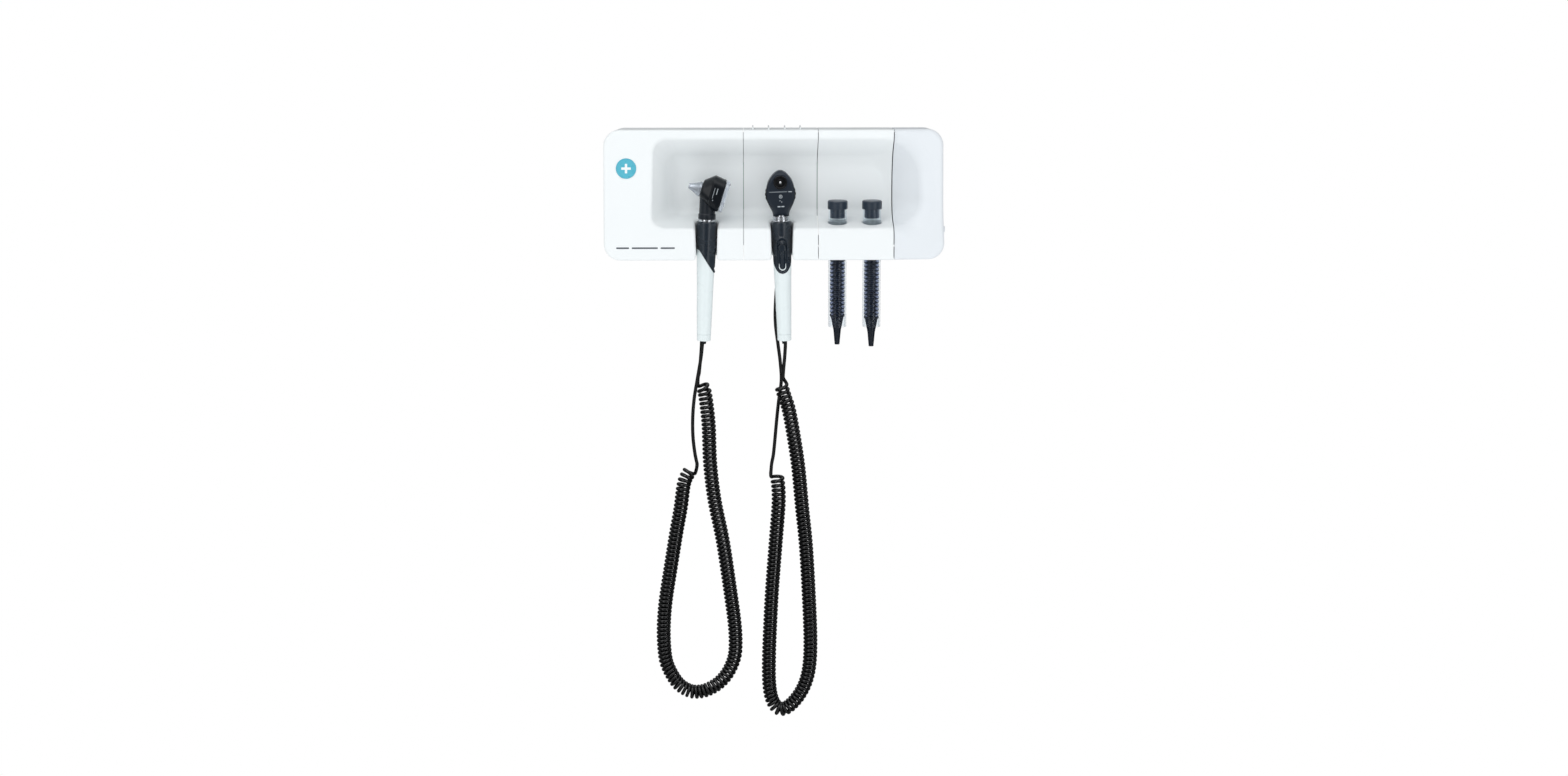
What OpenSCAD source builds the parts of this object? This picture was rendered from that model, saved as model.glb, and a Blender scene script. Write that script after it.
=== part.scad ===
// Wall-mounted diagnostic station: a corded otoscope and a corded ophthalmoscope
// hang in two forks of a four-module wall unit with a twin speculum dispenser.
// Origin: centre of the unit's outline on the wall plane. X runs to the right,
// Y runs into the wall, Z runs up. Millimetres.

/* [Wall unit] */
// Overall width of the wall unit
unit_w = 372; // [370:1:380]
// Overall height of the wall unit
unit_h = 142; // [141:1:146]
// Depth from the wall to the front plane at the lower edge
depth_low = 74; // [73:0.5:77]
// Depth from the wall to the front plane at the upper edge
depth_top = 62; // [61:0.5:64]
// Corner radius of the front outline
corner_r = 18; // [16:0.5:20]
// Skin thickness of the moulded covers
skin = 2.5; // [2:0.1:2.8]
// Gap between neighbouring covers
gap = 0.3; // [0.2:0.05:0.5]
// Step from the dispenser front down to the end cover front
end_step = 4; // [2:0.5:5]
// Further fall of the end cover front towards its outer edge
end_fall = 12; // [8:0.5:14]

/* [Recess and forks] */
// Upper edge of the recess opening above the centre
pan_top = 60; // [58:0.5:61]
// Front edge of the shelf below the centre
shelf_drop = 36.5; // [36:0.5:38]
// Distance of the recess floor from the wall
floor_d = 20; // [19:0.5:21]
// Width of a fork channel
fork_w = 25; // [24.8:0.1:26]
// Distance of the instrument axes from the wall
fork_d = 48; // [47.5:0.5:48.5]
// Position of the otoscope fork across the unit
oto_fork_x = -74.2; // [-74.4:0.1:-74]
// Position of the ophthalmoscope fork across the unit
oph_fork_x = 8.6; // [8.4:0.1:8.8]

/* [Wall fixing] */
// Distance between the left and right wall screws
screw_dx = 300; // [296:1:304]
// Distance between the upper and lower wall screws
screw_dz = 100; // [98:1:102]
// Radius of a wall screw hole
screw_r = 2.75; // [2.25:0.05:3.25]

/* [Handles] */
// Length of a handle from the grip's top face to the end cap
handle_l = 134; // [130:1:138]
// Height of a grip's top face relative to the centre
grip_z = -31; // [-31.5:0.5:-30.5]
// Lean of the otoscope handle
oto_lean = 1.84; // [1.6:0.02:2]
// Lean of the ophthalmoscope handle
oph_lean = 1.54; // [1.4:0.02:1.8]
// Radius of the inner tube's bore
tube_bore = 6; // [5.98:0.01:6.05]
// Height of the dimmer button's centre below the grip's top face
button_z = 28; // [27:0.5:30]

/* [Otoscope head] */
// Upward tilt of the optical axis
optic_tilt = 15.2; // [14.8:0.1:15.6]
// Radius of the magnifying lens
lens_r = 10.35; // [9.5:0.05:10.35]
// Length of the ear speculum
spec_l = 14.1; // [13.5:0.1:16]

/* [Ophthalmoscope head] */
// Radius of the lens wheel
lens_wheel_r = 17; // [16.2:0.1:17]
// Number of finger scallops on the lens wheel
scallops = 22; // [18:1:26]
// Number of lens openings in the lens wheel
lens_count = 11; // [8:1:12]
// Number of openings in the aperture wheel
aperture_count = 6; // [5:1:8]

/* [Speculum dispenser] */
// Outer radius of a dispenser tube
disp_r = 10; // [9.8:0.05:10.1]
// Position of the left dispenser tube across the unit
disp_x1 = 70; // [69:0.5:71]
// Position of the right dispenser tube across the unit
disp_x2 = 107.8; // [107:0.1:109]
// Specula nested above the next one in each tube
stack_n = 20; // [8:1:20]
// Nesting pitch of the specula
stack_pitch = 4.4; // [4.3:0.1:4.4]

/* [Cords] */
// Radius of the cord's straight wire
wire_r = 1.98; // [1.8:0.02:2]
// Outer radius of the coiled stretch
coil_r = 7.4; // [6.8:0.1:7.5]
// How far the otoscope cord's loop hangs below the centre
oto_drop = 574; // [540:1:574]
// How far the ophthalmoscope cord's loop hangs below the centre
oph_drop = 596; // [560:1:596]

/* [Hidden] */

half_w = unit_w / 2;
half_h = unit_h / 2;

// Seams between the covers, from left to right
seam_left = -33.4;
seam_mid = 48.2;
seam_right = 130.8;
front_tilt = atan((depth_low - depth_top) / unit_h);
end_yaw = atan(end_fall / (half_w - seam_right));

// Handle axes at the grips' top faces, and the places where the cords enter the unit
oto_x = oto_fork_x + 0.4;
oph_x = oph_fork_x - 0.6;
oto_port_x = oto_fork_x - 3.8;
oph_port_x = oph_fork_x - 3.6;
port_y = -27;

white = [0.95, 0.96, 0.97];
handle_white = [0.93, 0.96, 0.97];
black = [0.16, 0.18, 0.2];
inlet_black = [0.12, 0.12, 0.13];
rubber_black = [0.1, 0.1, 0.1];
cord_black = [0.08, 0.09, 0.1];
wheel_black = [0.12, 0.13, 0.14];
cap_grey = [0.17, 0.2, 0.23];
steel = [0.8, 0.81, 0.83];
board_green = [0.1, 0.4, 0.25];

// Depth position of the front plane at height z
function front_y(z) = -(depth_low + (z + half_h) * (depth_top - depth_low) / unit_h);
// How far the end cover's front lies behind the front plane at x
function end_sink(x) = end_step + (x - seam_right) / (half_w - seam_right) * end_fall;

// ---------- shared shapes ----------

disc_t = 0.02; // thickness of the discs that hulls are spanned over

module box(corner, size) translate(corner) cube(size);

// Box centred on the Z axis; size is [x, y]
module block(size, z, h) box([-size[0] / 2, -size[1] / 2, z], [size[0], size[1], h]);

module rod(r, z, h, fn = 64, x = 0, y = 0) translate([x, y, z]) cylinder(r = r, h = h, $fn = fn);

// Cylinder along Y from y0 to y1
module rod_y(r, y0, y1, z, x = 0, fn = 64)
    translate([x, y1, z]) rotate([90, 0, 0]) cylinder(r = r, h = y1 - y0, $fn = fn);

// Turned part; profile points are [radius, z]
module revolve(profile, fn = 96) rotate_extrude($fn = fn) polygon(profile);

// Prism with two round ends whose centres lie l apart along Y
module stadium(r, l, h) {
    for (side = [-1, 1]) rod(r, 0, h, fn = 32, y = side * l / 2);
    box([-r, -l / 2, 0], [2 * r, l, h]);
}

// ---------- moulded body ----------

// Rounding at the back face
back_r = 12;
back_inset = 4;
back_centre = back_inset + back_r;
// Rounding of the front rim: [reduction of the corner radius, depth behind the front plane]
rim_steps = [[0, 6], [1.8, 1.8], [5, 0]];

// Recess: left and right edges, corner radii above and below, at the opening and the floor
pan_xs = [-133, 158];
pan_r_top = 16;
pan_r_low = 8;
pan_floor_xs = [-115, 145];
pan_floor_zs = [-26.5, 35];
floor_r_top = 10;
floor_r_low = 6;

module front_disc(x, z, r, sunk, turn = 0) translate([x, front_y(z) + sunk, z])
    rotate([90 - front_tilt, 0, turn]) cylinder(r = r, h = disc_t, $fn = 32);
module flat_disc(x, y, z, r)
    translate([x, y, z]) rotate([90, 0, 0]) cylinder(r = r, h = disc_t, $fn = 32);

// Discs at one corner of the body; side_z is -1 below and 1 above
module body_corner(x_front, x_back, side_z, inset, back, sunk = 0, turn = 0) {
    flat_disc(x_back, back, side_z * (half_h - back_centre - inset), back_r);
    for (rim = rim_steps)
        front_disc(x_front, side_z * (half_h - corner_r - inset), corner_r - rim[0],
            rim[1] + inset + sunk, turn);
}

// The whole moulded body; inset moves every face inwards, back moves the open back face
module full_body(inset = 0, back = 0) hull()
    for (sx = [-1, 1], sz = [-1, 1])
        body_corner(sx * (half_w - corner_r - inset), sx * (half_w - back_centre - inset),
            sz, inset, back);

// The end cover's body, whose front falls back towards the outer edge
module end_body(inset = 0, back = 0) {
    inner_x = seam_right - 20;
    outer_x = half_w - corner_r - inset;
    hull()
        for (xs = [[inner_x, inner_x], [outer_x, half_w - back_centre - inset]], sz = [-1, 1])
            body_corner(xs[0], xs[1], sz, inset, back, end_sink(xs[0]), end_yaw);
}

module body(is_end, inset = 0, back = 0)
    if (is_end) end_body(inset, back); else full_body(inset, back);

// The display recess; grow widens it to the outside of its wall, a tenth more at the front
module pan(grow = 0) hull() {
    for (x = [pan_xs[0] + pan_r_top, pan_xs[1] - pan_r_top]) {
        front_disc(x, pan_top - pan_r_top, pan_r_top + grow * 1.1, -1);
        front_disc(x, pan_r_low - shelf_drop, pan_r_low + grow * 1.1, -1);
    }
    for (x = [pan_floor_xs[0] + floor_r_top, pan_floor_xs[1] - floor_r_top]) {
        flat_disc(x, grow - floor_d, pan_floor_zs[1] - floor_r_top, floor_r_top + grow);
        flat_disc(x, grow - floor_d, pan_floor_zs[0] + floor_r_low, floor_r_low + grow);
    }
}

// Everything between two X positions
module slab(x0, x1) box([x0, -100, -100], [x1 - x0, 110, 200]);

// Upright channel with a round back: the space a handle hangs in
module channel(x, w, z0, z1) translate([x, 0, z0]) linear_extrude(z1 - z0) {
    translate([0, -fork_d]) circle(d = w, $fn = 64);
    translate([-w / 2, -100]) square([w, 100 - fork_d]);
}

// ---------- fixings shared by the plate and the covers ----------

under_z = -80; // level below the unit where cuts into the underside begin
cover_screw_xs = [-100, 36, 90, 160];
cover_screw_y = -13;
// Hook centres, one pair per cover from left to right
hook_xs = [[-125.7, -93.7], [-8.6, 23.4], [73.5, 105.5], [140, 160]];
hook_w = 14;
hook_z = 57.5;
// Board pegs on the wall plate
peg_xs = [-98, 112];
peg_zs = [-16, 24];

sensor_z = -50;
inlet_at = [-160, -38, 0];
inlet_flange = [26, 18];
inlet_body = [22, 14];
switch_at = [-128, -40, 0];
switch_flange = [23, 17];
switch_body = [19, 13];
rocker_z = -66;
side_button_y = -31;
side_button_z = -42;
badge_x = -161;
badge_z = 29;

module at_cover_screws() for (x = cover_screw_xs) translate([x, cover_screw_y, 0]) children();
module sensor_hole(x, r) rod_y(r, -40, -30, sensor_z, x, fn = 32);

// ---------- wall unit ----------

module plate_outline() {
    inset = 8;
    r = 12;
    w = unit_w - 2 * inset;
    h = unit_h - 2 * inset;
    square([w - 2 * r, h], center = true);
    square([w, h - 2 * r], center = true);
    for (sx = [-1, 1], sz = [-1, 1])
        translate([sx * (w / 2 - r), sz * (h / 2 - r)]) circle(r = r, $fn = 48);
}
module wall_plate() color(steel) difference() {
    union() {
        difference() {
            rotate([90, 0, 0]) linear_extrude(4) plate_outline();
            for (x = [-60, 60]) box([x - 18, -10, -52], [36, 20, 22]);
        }
        // lugs for the cover screws
        for (x = cover_screw_xs) box([x - 5, -20, -64.2], [10, 17, 7.2]);
        // hooks for the covers
        for (pair = hook_xs, x = pair) {
            box([x - hook_w / 2, -12, hook_z], [hook_w, 9, 2]);
            box([x - hook_w / 2, -12, hook_z], [hook_w, 2, 6]);
        }
        for (x = peg_xs, z = peg_zs) translate([x, -3, z]) rotate([90, 0, 0]) {
            rod(3.5, 0, 4.9, fn = 32);
            rod(1.6, 0, 7.4, fn = 32);
        }
    }
    for (sx = [-1, 1], sz = [-1, 1])
        rod_y(screw_r, -11, 1, sz * screw_dz / 2, sx * screw_dx / 2, fn = 48);
    at_cover_screws() rod(1.5, -70, 12, fn = 32);
}

// One cover: skin, recess wall and walls around the fork channels, open at the back
module cover(x0, x1, hooks, forks = [], is_end = false) difference() {
    intersection() {
        slab(x0, x1);
        body(is_end);
    }
    difference() {
        body(is_end, skin, 1);
        pan(skin);
        for (x = forks) channel(x, fork_w + 2 * skin, -90, -20);
        for (x = hooks) box([x - hook_w / 2, -9.4, 60.6], [hook_w, 2.9, 6]);
    }
    pan();
    for (x = forks) {
        channel(x, fork_w, -90, -20);
        sensor_hole(x, 2.6);
    }
    at_cover_screws() {
        rod(3.2, under_z, -67.4 - under_z, fn = 32);
        rod(1.7, under_z, 20, fn = 32);
    }
}

// Stepped opening for a flanged part, with clearance all round
module flanged_cut(flange, through, seat_z) {
    clearance = [0.4, 0.4];
    block(flange + clearance, under_z, seat_z - under_z);
    block(through + clearance, under_z, 20);
}
module grommet_hole(x) rod(4.2, -90, 40, fn = 32, x = x, y = port_y);
// Disc square to the front plane; z is its start in front of that plane
module badge_disc(r, z, h) translate([badge_x, front_y(badge_z), badge_z])
    rotate([90 - front_tilt, 0, 0]) rod(r, z, h);

module power_cover() color(white) difference() {
    cover(-half_w - 5, seam_left - gap / 2, hook_xs[0], [oto_fork_x]);
    translate(inlet_at) flanged_cut(inlet_flange, inlet_body, -68.8);
    translate(switch_at) flanged_cut(switch_flange, switch_body, -68.9);
    badge_disc(11.2, -0.5, 5);
    grommet_hole(oto_port_x);
}
module middle_cover() color(white) union() {
    difference() {
        cover(seam_left + gap / 2, seam_mid - gap / 2, hook_xs[1], [oph_fork_x]);
        grommet_hole(oph_port_x);
    }
    // ribs across the top face
    for (x = [-23, -5.7, 12, 29]) box([x - 0.7, -52, half_h - 3], [1.4, 30, 4.4]);
}
module dispenser_cover() color(white) difference() {
    union() {
        cover(seam_mid + gap / 2, seam_right - gap / 2, hook_xs[2]);
        // right side wall and inner shelf, kept within the body below the recess
        intersection() {
            full_body();
            union() {
                box([seam_right - gap / 2 - skin, -80, -75], [skin, 50, 75 - shelf_drop + 4]);
                box([seam_mid + 1, -72, -50], [seam_right - seam_mid - 2, 44, 2]);
            }
            box([0, -100, -100], [200, 110, 100 - shelf_drop + 1]);
        }
    }
    pan();
    for (x = [disp_x1, disp_x2]) rod(disp_r + 0.3, -90, 80, x = x, y = -fork_d);
}
module end_cover() color(white) difference() {
    cover(seam_right + gap / 2, half_w + 5, hook_xs[3], is_end = true);
    translate([half_w - 12, side_button_y, side_button_z]) rotate([0, 90, 0]) stadium(3.2, 4, 20);
}
module cover_screws() color(steel) at_cover_screws() {
    difference() {
        rod(2.8, -69.6, 2.1, fn = 32);
        box([-0.4, -2, -70.6], [0.8, 4, 1.8]);
        box([-2, -0.4, -70.6], [4, 0.8, 1.8]);
    }
    rod(1.45, -67.6, 9.4, fn = 32);
}

module transformer() color([0.35, 0.32, 0.28]) {
    // core with two windows
    difference() {
        box([-176, -44, -16], [34, 30, 48]);
        for (z = [-6, 13]) box([-180, -36, z], [44, 14, 9]);
    }
    box([-179, -37, -8], [40, 16, 7]);
    box([-177.5, -46, 4.5], [37, 34, 7]);
    // pad between the core and the wall plate
    box([-174, -14.01, -10], [30, 9.9, 36]);
    for (z = [-8.5, 9]) box([-178.5, -35.5, z], [39, 13, 5]);
}
module control_board() color(board_green) difference() {
    union() {
        box([-105, -9.6, -22], [224, 1.6, 52]);
        for (x = [-80, -55, 20, 45]) rod_y(4, -16, -9.5, 8, x, fn = 32);
        for (x = [-25, 85]) box([x, -14.5, -6], [16, 5.5, 12]);
        for (x = [-78, 6]) box([x, -15.6, -20], [12, 6.5, 7]);
        box([-10, -12, 12], [12, 3, 12]);
        box([60, -13, 14], [18, 4, 8]);
    }
    for (x = peg_xs, z = peg_zs) rod_y(1.8, -20, 0, z, x, fn = 32);
}
module power_inlet() color(inlet_black) translate(inlet_at) difference() {
    union() {
        block(inlet_flange, -70.4, 1.5);
        block(inlet_body, -69, 21);
    }
    block([17, 8], -71, 14);
    for (x = [-4.3, 4.3]) rod(1.2, -60, 20, fn = 24, x = x);
}
module switch_frame() color(inlet_black) translate(switch_at) difference() {
    union() {
        block(switch_flange, -70.4, 1.4);
        block(switch_body, -69.4, 17);
    }
    block([15.6, 9.8], -72, 16);
    rod_y(1.1, -8, 8, rocker_z, fn = 32);
}
// Rocker outline: [x, z] about its pivot
rocker_outline = [
    [-6.9, -3.4], [0, -4.3], [6.9, -3.4], [6.6, 1.6], [1.6, 3.4], [-1.6, 3.4], [-6.6, 1.6]
];
module switch_rocker() color([0.1, 0.1, 0.1])
    translate(switch_at + [0, 0, rocker_z]) rotate([0, 8, 0]) {
        translate([0, 4.6, 0]) rotate([90, 0, 0]) linear_extrude(9.2) polygon(rocker_outline);
        rod_y(1, -6.2, 6.2, 0, fn = 32);
    }
module side_button() color([0.85, 0.87, 0.88])
    translate([half_w - 6.6, side_button_y, side_button_z]) rotate([0, 90, 0]) {
        stadium(3, 4, 10);
        stadium(4.2, 4, 1.6);
    }

// Rubber seat: a half ring behind the tapered grip; children are cut away
module liner(x) difference() {
    intersection() {
        rod(fork_w / 2 - 0.05, -69.5, 32, x = x, y = -fork_d);
        box([x - 20, -fork_d + 7, -80], [40, 20, 60]);
    }
    children();
    sensor_hole(x, 2.8);
}
module grip_room() revolve(concat(
    [[0, 4]], [for (z = [2, -20, -32, -45]) [grip_r(z) + 0.35, z]], [[0, -45]]));
module fork_liners() color([0.2, 0.22, 0.24]) {
    liner(oto_fork_x) in_oto() {
        grip_room();
        // room for the thumb pad, which faces right here
        box([4, -9.2, -58], [8.4, 18.4, 70]);
    }
    liner(oph_fork_x) in_oph() grip_room();
}
module fork_sensors() color([0.25, 0.05, 0.08])
    for (x = [oto_fork_x, oph_fork_x]) translate([x, 0, sensor_z]) rotate([90, 0, 0]) {
        rod(3.8, 31, 1.95, fn = 32);
        rod(2.5, 32, 4.1, fn = 32);
    }
module badge() color([0.37, 0.76, 0.84]) badge_disc(11, -0.45, 1);
module cord_grommets() color(rubber_black)
    for (x = [oto_port_x, oph_port_x]) translate([x, port_y, 0]) revolve([
        [2.2, -72.5], [3.4, -72.5], [4.4, -70.6], [6, -70.6], [6, -69.1],
        [4.1, -69.1], [4.1, -65.4], [5.6, -65.4], [5.6, -64], [2.2, -64]
    ], fn = 48);

// ---------- cords ----------

// Catmull-Rom point between b and c
function curve_point(a, b, c, d, t) = 0.5 * (2 * b + (c - a) * t
    + (2 * a - 5 * b + 4 * c - d) * t * t + (3 * b - a - 3 * c + d) * t * t * t);
function spline(p, steps) = concat(
    [for (i = [0 : len(p) - 2], k = [0 : steps - 1])
        curve_point(p[max(i - 1, 0)], p[i], p[i + 1], p[min(i + 2, len(p) - 1)], k / steps)],
    [p[len(p) - 1]]);
function unit(v) = v / norm(v);
function path_dir(p, i) = unit(p[min(i + 1, len(p) - 1)] - p[max(i - 1, 0)]);

// Solid round tube of radius r with n sides along the points of path
module tube_along(path, r, n = 10) {
    last = len(path) - 1;
    ring_points = [for (i = [0 : last])
        let(along = path_dir(path, i), side = unit(cross(along, [0, 1, 0])),
            across = cross(along, side))
        for (k = [0 : n - 1])
            path[i] + r * (cos(360 * k / n) * side + sin(360 * k / n) * across)];
    polyhedron(points = ring_points, faces = concat(
        [[for (k = [0 : n - 1]) k]],
        [[for (k = [n - 1 : -1 : 0]) last * n + k]],
        [for (i = [0 : last - 1], k = [0 : n - 1]) each [
            [i * n + k, (i + 1) * n + k, i * n + (k + 1) % n],
            [i * n + (k + 1) % n, (i + 1) * n + k, (i + 1) * n + (k + 1) % n]]]),
        convexity = 10);
}

// Points on a handle's axis where the cord leaves its lower end; lean is positive
// when the top leans right
function handle_exit(x, lean) = [for (z = [20, 6, -1, -5])
    [x + (z - handle_l) * sin(lean), -fork_d, grip_z + (z - handle_l) * cos(lean)]];
// Points where a cord rises through its grommet
function port_entry(x) = [for (z = [-76, -62, -56]) [x, port_y, z]];

// Wire from the handle, coiled loop, wire into the wall unit; tables of [x, y, z]
module cord(handle_lead, loop, unit_lead) {
    tube_along(spline(handle_lead, 4), wire_r);
    tube_along(spline(loop, 4), coil_r, 12);
    tube_along(spline(unit_lead, 4), wire_r);
}
module otoscope_cord() color(cord_black) cord(
    concat(handle_exit(oto_x, oto_lean), [
        [-81.5, -48, -183], [-86, -48, -209], [-90.5, -47.5, -240],
        [-90.5, -47.5, -272], [-87.5, -47, -299], [-88, -46.5, -312]
    ]),
    [
        [-93, -46, -310], [-101, -46, -326], [-106, -45, -358], [-116, -44, -418],
        [-124.5, -42, -472], [-125, -41, -527], [-114, -40, 15 - oto_drop],
        [-92, -39, -oto_drop], [-64, -38, 10 - oto_drop], [-47, -36, 36 - oto_drop],
        [-45, -34, -492], [-55, -32, -420], [-67, -30.5, -351], [-73, -30, -290],
        [-76, -30, -236], [-80, -30, -219]
    ],
    concat([
        [-80, -30, -224], [-84, -30, -205], [-82, -29.5, -172], [-80, -28.5, -130],
        [-78.2, -27.2, -84]
    ], port_entry(oto_port_x)));
module ophthalmoscope_cord() color(cord_black) cord(
    concat(handle_exit(oph_x, -oph_lean), [
        [11.7, -48, -183], [10, -47.5, -197], [9, -46.2, -212], [9, -45.4, -220]
    ]),
    [
        [8, -45, -215], [12, -44, -229], [18, -43, -250], [25.5, -42, -297],
        [31.5, -41, -356], [38, -39.5, -440], [41.3, -38, -510], [35, -37, -566],
        [17, -36, 4 - oph_drop], [2, -35, 5 - oph_drop], [-5.5, -34, -560],
        [-4.5, -32, -500], [1, -30.5, -410], [5, -30, -352], [3.5, -30, -322]
    ],
    concat([
        [2, -30, -326], [-3.5, -30, -314], [-0.3, -29, -295], [4, -28, -250],
        [8, -27.5, -213], [6, -27.5, -180], [2.2, -28, -145], [3, -27.5, -105],
        [4.9, -27, -80]
    ], port_entry(oph_port_x)));

// ---------- speculum dispenser ----------

// Level of the rim of the lowest speculum in each tube
next_z1 = -134.2;
next_z2 = -136.4;

module speculum_tubes() color([0.85, 0.9, 0.95, 0.4])
    for (x = [disp_x1, disp_x2]) translate([x, -fork_d, 0]) revolve([
        [8.5, -17.5], [disp_r, -17.5], [disp_r, -46.2], [12, -46.2], [12, -47.95],
        [disp_r, -47.95], [disp_r, -148], [8.3, -148], [8.3, -146.8], [8.5, -146.4]
    ]);
module speculum(x, z) translate([x, -fork_d, z]) revolve([
    [7.84, 0], [8.2, 0], [8.2, -2.5], [7.2, -3], [4.15, -18],
    [2.7, -34], [2.34, -34], [3.79, -18], [6.84, -2.75], [7.84, -2.25]
], fn = 64);
module specula_stacks() color(black)
    for (tube = [[disp_x1, next_z1], [disp_x2, next_z2]], i = [1 : stack_n])
        speculum(tube[0], tube[1] + i * stack_pitch);
module left_next_speculum() color(black) speculum(disp_x1, next_z1);
module right_next_speculum() color(black) speculum(disp_x2, next_z2);

// Grooved cap with a plug that reaches down into the tube
module tube_cap(x) translate([x, -fork_d, 0]) {
    difference() {
        translate([0, 0, -17.4])
            revolve([[0, 0], [10.7, 0], [11, 0.4], [11, 8.4], [10.2, 9.3], [0, 9.3]]);
        for (a = [0 : 15 : 345]) rotate([0, 0, a]) rod(0.7, -20, 9.5, fn = 24, x = 11.4);
    }
    rod(8.4, -27.4, 10.2);
}
module left_tube_cap() color(cap_grey) tube_cap(disp_x1);
module right_tube_cap() color(cap_grey) tube_cap(disp_x2);

// ---------- handles (local frame: z = 0 at the grip's top face, thumb pad on +X) ----------

// Outer taper of the handle: [z, radius]
handle_taper = [
    [-134, 7.7], [-125, 7.8], [-100, 8.4], [-70, 9.1], [-45, 9.9],
    [-32, 10.4], [-20, 10.85], [0, 11.55], [10, 11.55]
];
socket_r = 6.02; // bore in a head that takes the connector ring
lamp_bore = 3.2;
function grip_r(z) = lookup(z, handle_taper);

module in_oto() translate([oto_x, -fork_d, grip_z]) rotate([0, oto_lean, 0]) children();
module in_oph() translate([oph_x, -fork_d, grip_z]) rotate([0, -oph_lean, 0]) children();
// Turns the thumb pad towards the viewer
module in_oph_handle() in_oph() rotate([0, 0, -90]) children();

// Tapered body from z0 to z1, its radius enlarged by grow
module taper(z0, z1, grow = 0) revolve(concat(
    [[0, z0]],
    [for (z = [z0, -100, -70, -45, -32, -20, z1]) if (z >= z0 && z <= z1) [grip_r(z) + grow, z]],
    [[0, z1]]));
// Half space above the slanted joint between grip and sleeve
module above_joint(lift) translate([-10.4, 0, -29 + lift]) rotate([0, 54.4, 0])
    box([-60, -60, 0], [160, 120, 120]);
module button_hole(r) translate([0, 0, -button_z]) rotate([0, 90, 0]) rod(r, 0, 20, fn = 48);

module handle_sleeve() color(handle_white) difference() {
    union() {
        difference() {
            taper(8.6 - handle_l, -4);
            above_joint(-0.15);
        }
        rod(8.6, -100, 98);
        rod(7.6, 8.6 - handle_l, 40);
    }
    rod(tube_bore, -handle_l, handle_l + 10);
    button_hole(4.75);
}
module grip() color(black) difference() {
    intersection() {
        union() {
            taper(-60, -0.05);
            // raised thumb pad
            intersection() {
                taper(-60, -0.05, 0.8);
                translate([0, 0, -36.3]) rotate([0, 90, 0]) rotate([0, 0, 90])
                    stadium(8.25, 24.9, 30);
            }
        }
        above_joint(0.15);
    }
    rod(8.7, -70, 80);
    button_hole(4.15);
}
module connector_ring() color(steel) difference() {
    union() {
        rod(tube_bore - 0.08, -12, 19);
        revolve([[0, 0], [9.1, 0], [9.4, 0.3], [9.4, 2.5], [9.1, 2.8], [0, 2.8]], fn = 64);
    }
    rod(1.5, -20, 40, fn = 32);
}
module contact_pin() color([0.85, 0.7, 0.35]) {
    rod(1.4, -13, 20.3, fn = 32);
    rod(2.2, -13, 0.9, fn = 32);
}
// Five turns of wire below the contact pin
module contact_spring() color(steel) {
    coil = [for (i = [0 : 60]) [1.9 * cos(i * 30), 1.9 * sin(i * 30), -22 + 8.5 * i / 60]];
    tube_along(coil, 0.3, 6);
}
module dimmer_board() color(board_green) {
    box([-3.6, -4.5, -62], [1.6, 9, 39.5]);
    box([-2.01, -3, -button_z - 3], [2.21, 6, 6]);
    rod(3, -23.2, 0.8, fn = 32);
    box([-2.01, -2.5, -50], [4, 5, 10]);
}
module dimmer_button() color([0.1, 0.11, 0.12])
    translate([0, 0, -button_z]) rotate([0, 90, 0]) {
        translate([0, 0, 7.1])
            revolve([[0, 0], [4, 0], [4, 4.4], [3.4, 4.9], [0, 4.9]], fn = 64);
        rod(4.55, 5.9, 1.25, fn = 48);
        rod(1.2, 1.1, 5, fn = 32);
    }
module end_cap() color(handle_white) translate([0, 0, -handle_l]) difference() {
    plug_r = tube_bore - 0.06;
    revolve([[0, 0], [7.2, 0], [7.7, 0.6], [7.78, 8.5], [plug_r, 8.5], [plug_r, 16], [0, 16]]);
    rod(2.95, -5, 40, fn = 48);
}
module cord_relief() color(rubber_black) translate([0, 0, -handle_l]) revolve([
    [2.15, -2.5], [2.5, -2.5], [2.85, 0], [2.85, 16.1], [4.5, 16.1], [4.5, 17.5], [2.15, 17.5]
], fn = 48);
module lamp() color([0.95, 0.9, 0.75]) translate([0, 0, 7.4]) {
    rod(3, 0, 5.2, fn = 48);
    rod(2.2, 0, 9, fn = 48);
    translate([0, 0, 9]) sphere(r = 2.2, $fn = 48);
}

module otoscope_handle_sleeve() in_oto() handle_sleeve();
module otoscope_grip() in_oto() grip();
module otoscope_connector_ring() in_oto() connector_ring();
module otoscope_contact_pin() in_oto() contact_pin();
module otoscope_contact_spring() in_oto() contact_spring();
module otoscope_dimmer_board() in_oto() dimmer_board();
module otoscope_dimmer_button() in_oto() dimmer_button();
module otoscope_end_cap() in_oto() end_cap();
module otoscope_cord_relief() in_oto() cord_relief();
module ophthalmoscope_handle_sleeve() in_oph_handle() handle_sleeve();
module ophthalmoscope_grip() in_oph_handle() grip();
module ophthalmoscope_connector_ring() in_oph_handle() connector_ring();
module ophthalmoscope_contact_pin() in_oph_handle() contact_pin();
module ophthalmoscope_contact_spring() in_oph_handle() contact_spring();
module ophthalmoscope_dimmer_board() in_oph_handle() dimmer_board();
module ophthalmoscope_dimmer_button() in_oph_handle() dimmer_button();
module ophthalmoscope_end_cap() in_oph_handle() end_cap();
module ophthalmoscope_cord_relief() in_oph_handle() cord_relief();

// ---------- otoscope head ----------

// Head outline across the optical axis: four arcs of eye_r about these centres
eye_r = 11;
eye_xs = [-6.6, 6.6];
eye_ys = [-2.5, 2.5];
// Elliptical sections: [z, lower x, upper x, half width]
head_sections = [[4.5, -19.2, 17.9, 13.8], [13.7, -14.5, 18.5, 13], [23.4, -8.6, 11, 9.8]];
lens_pin_x = 14.3;
// Lens: near and far vertex, radius of its spherical faces
lens_z0 = -4.5;
lens_z1 = -0.3;
lens_face_r = 39;

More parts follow.
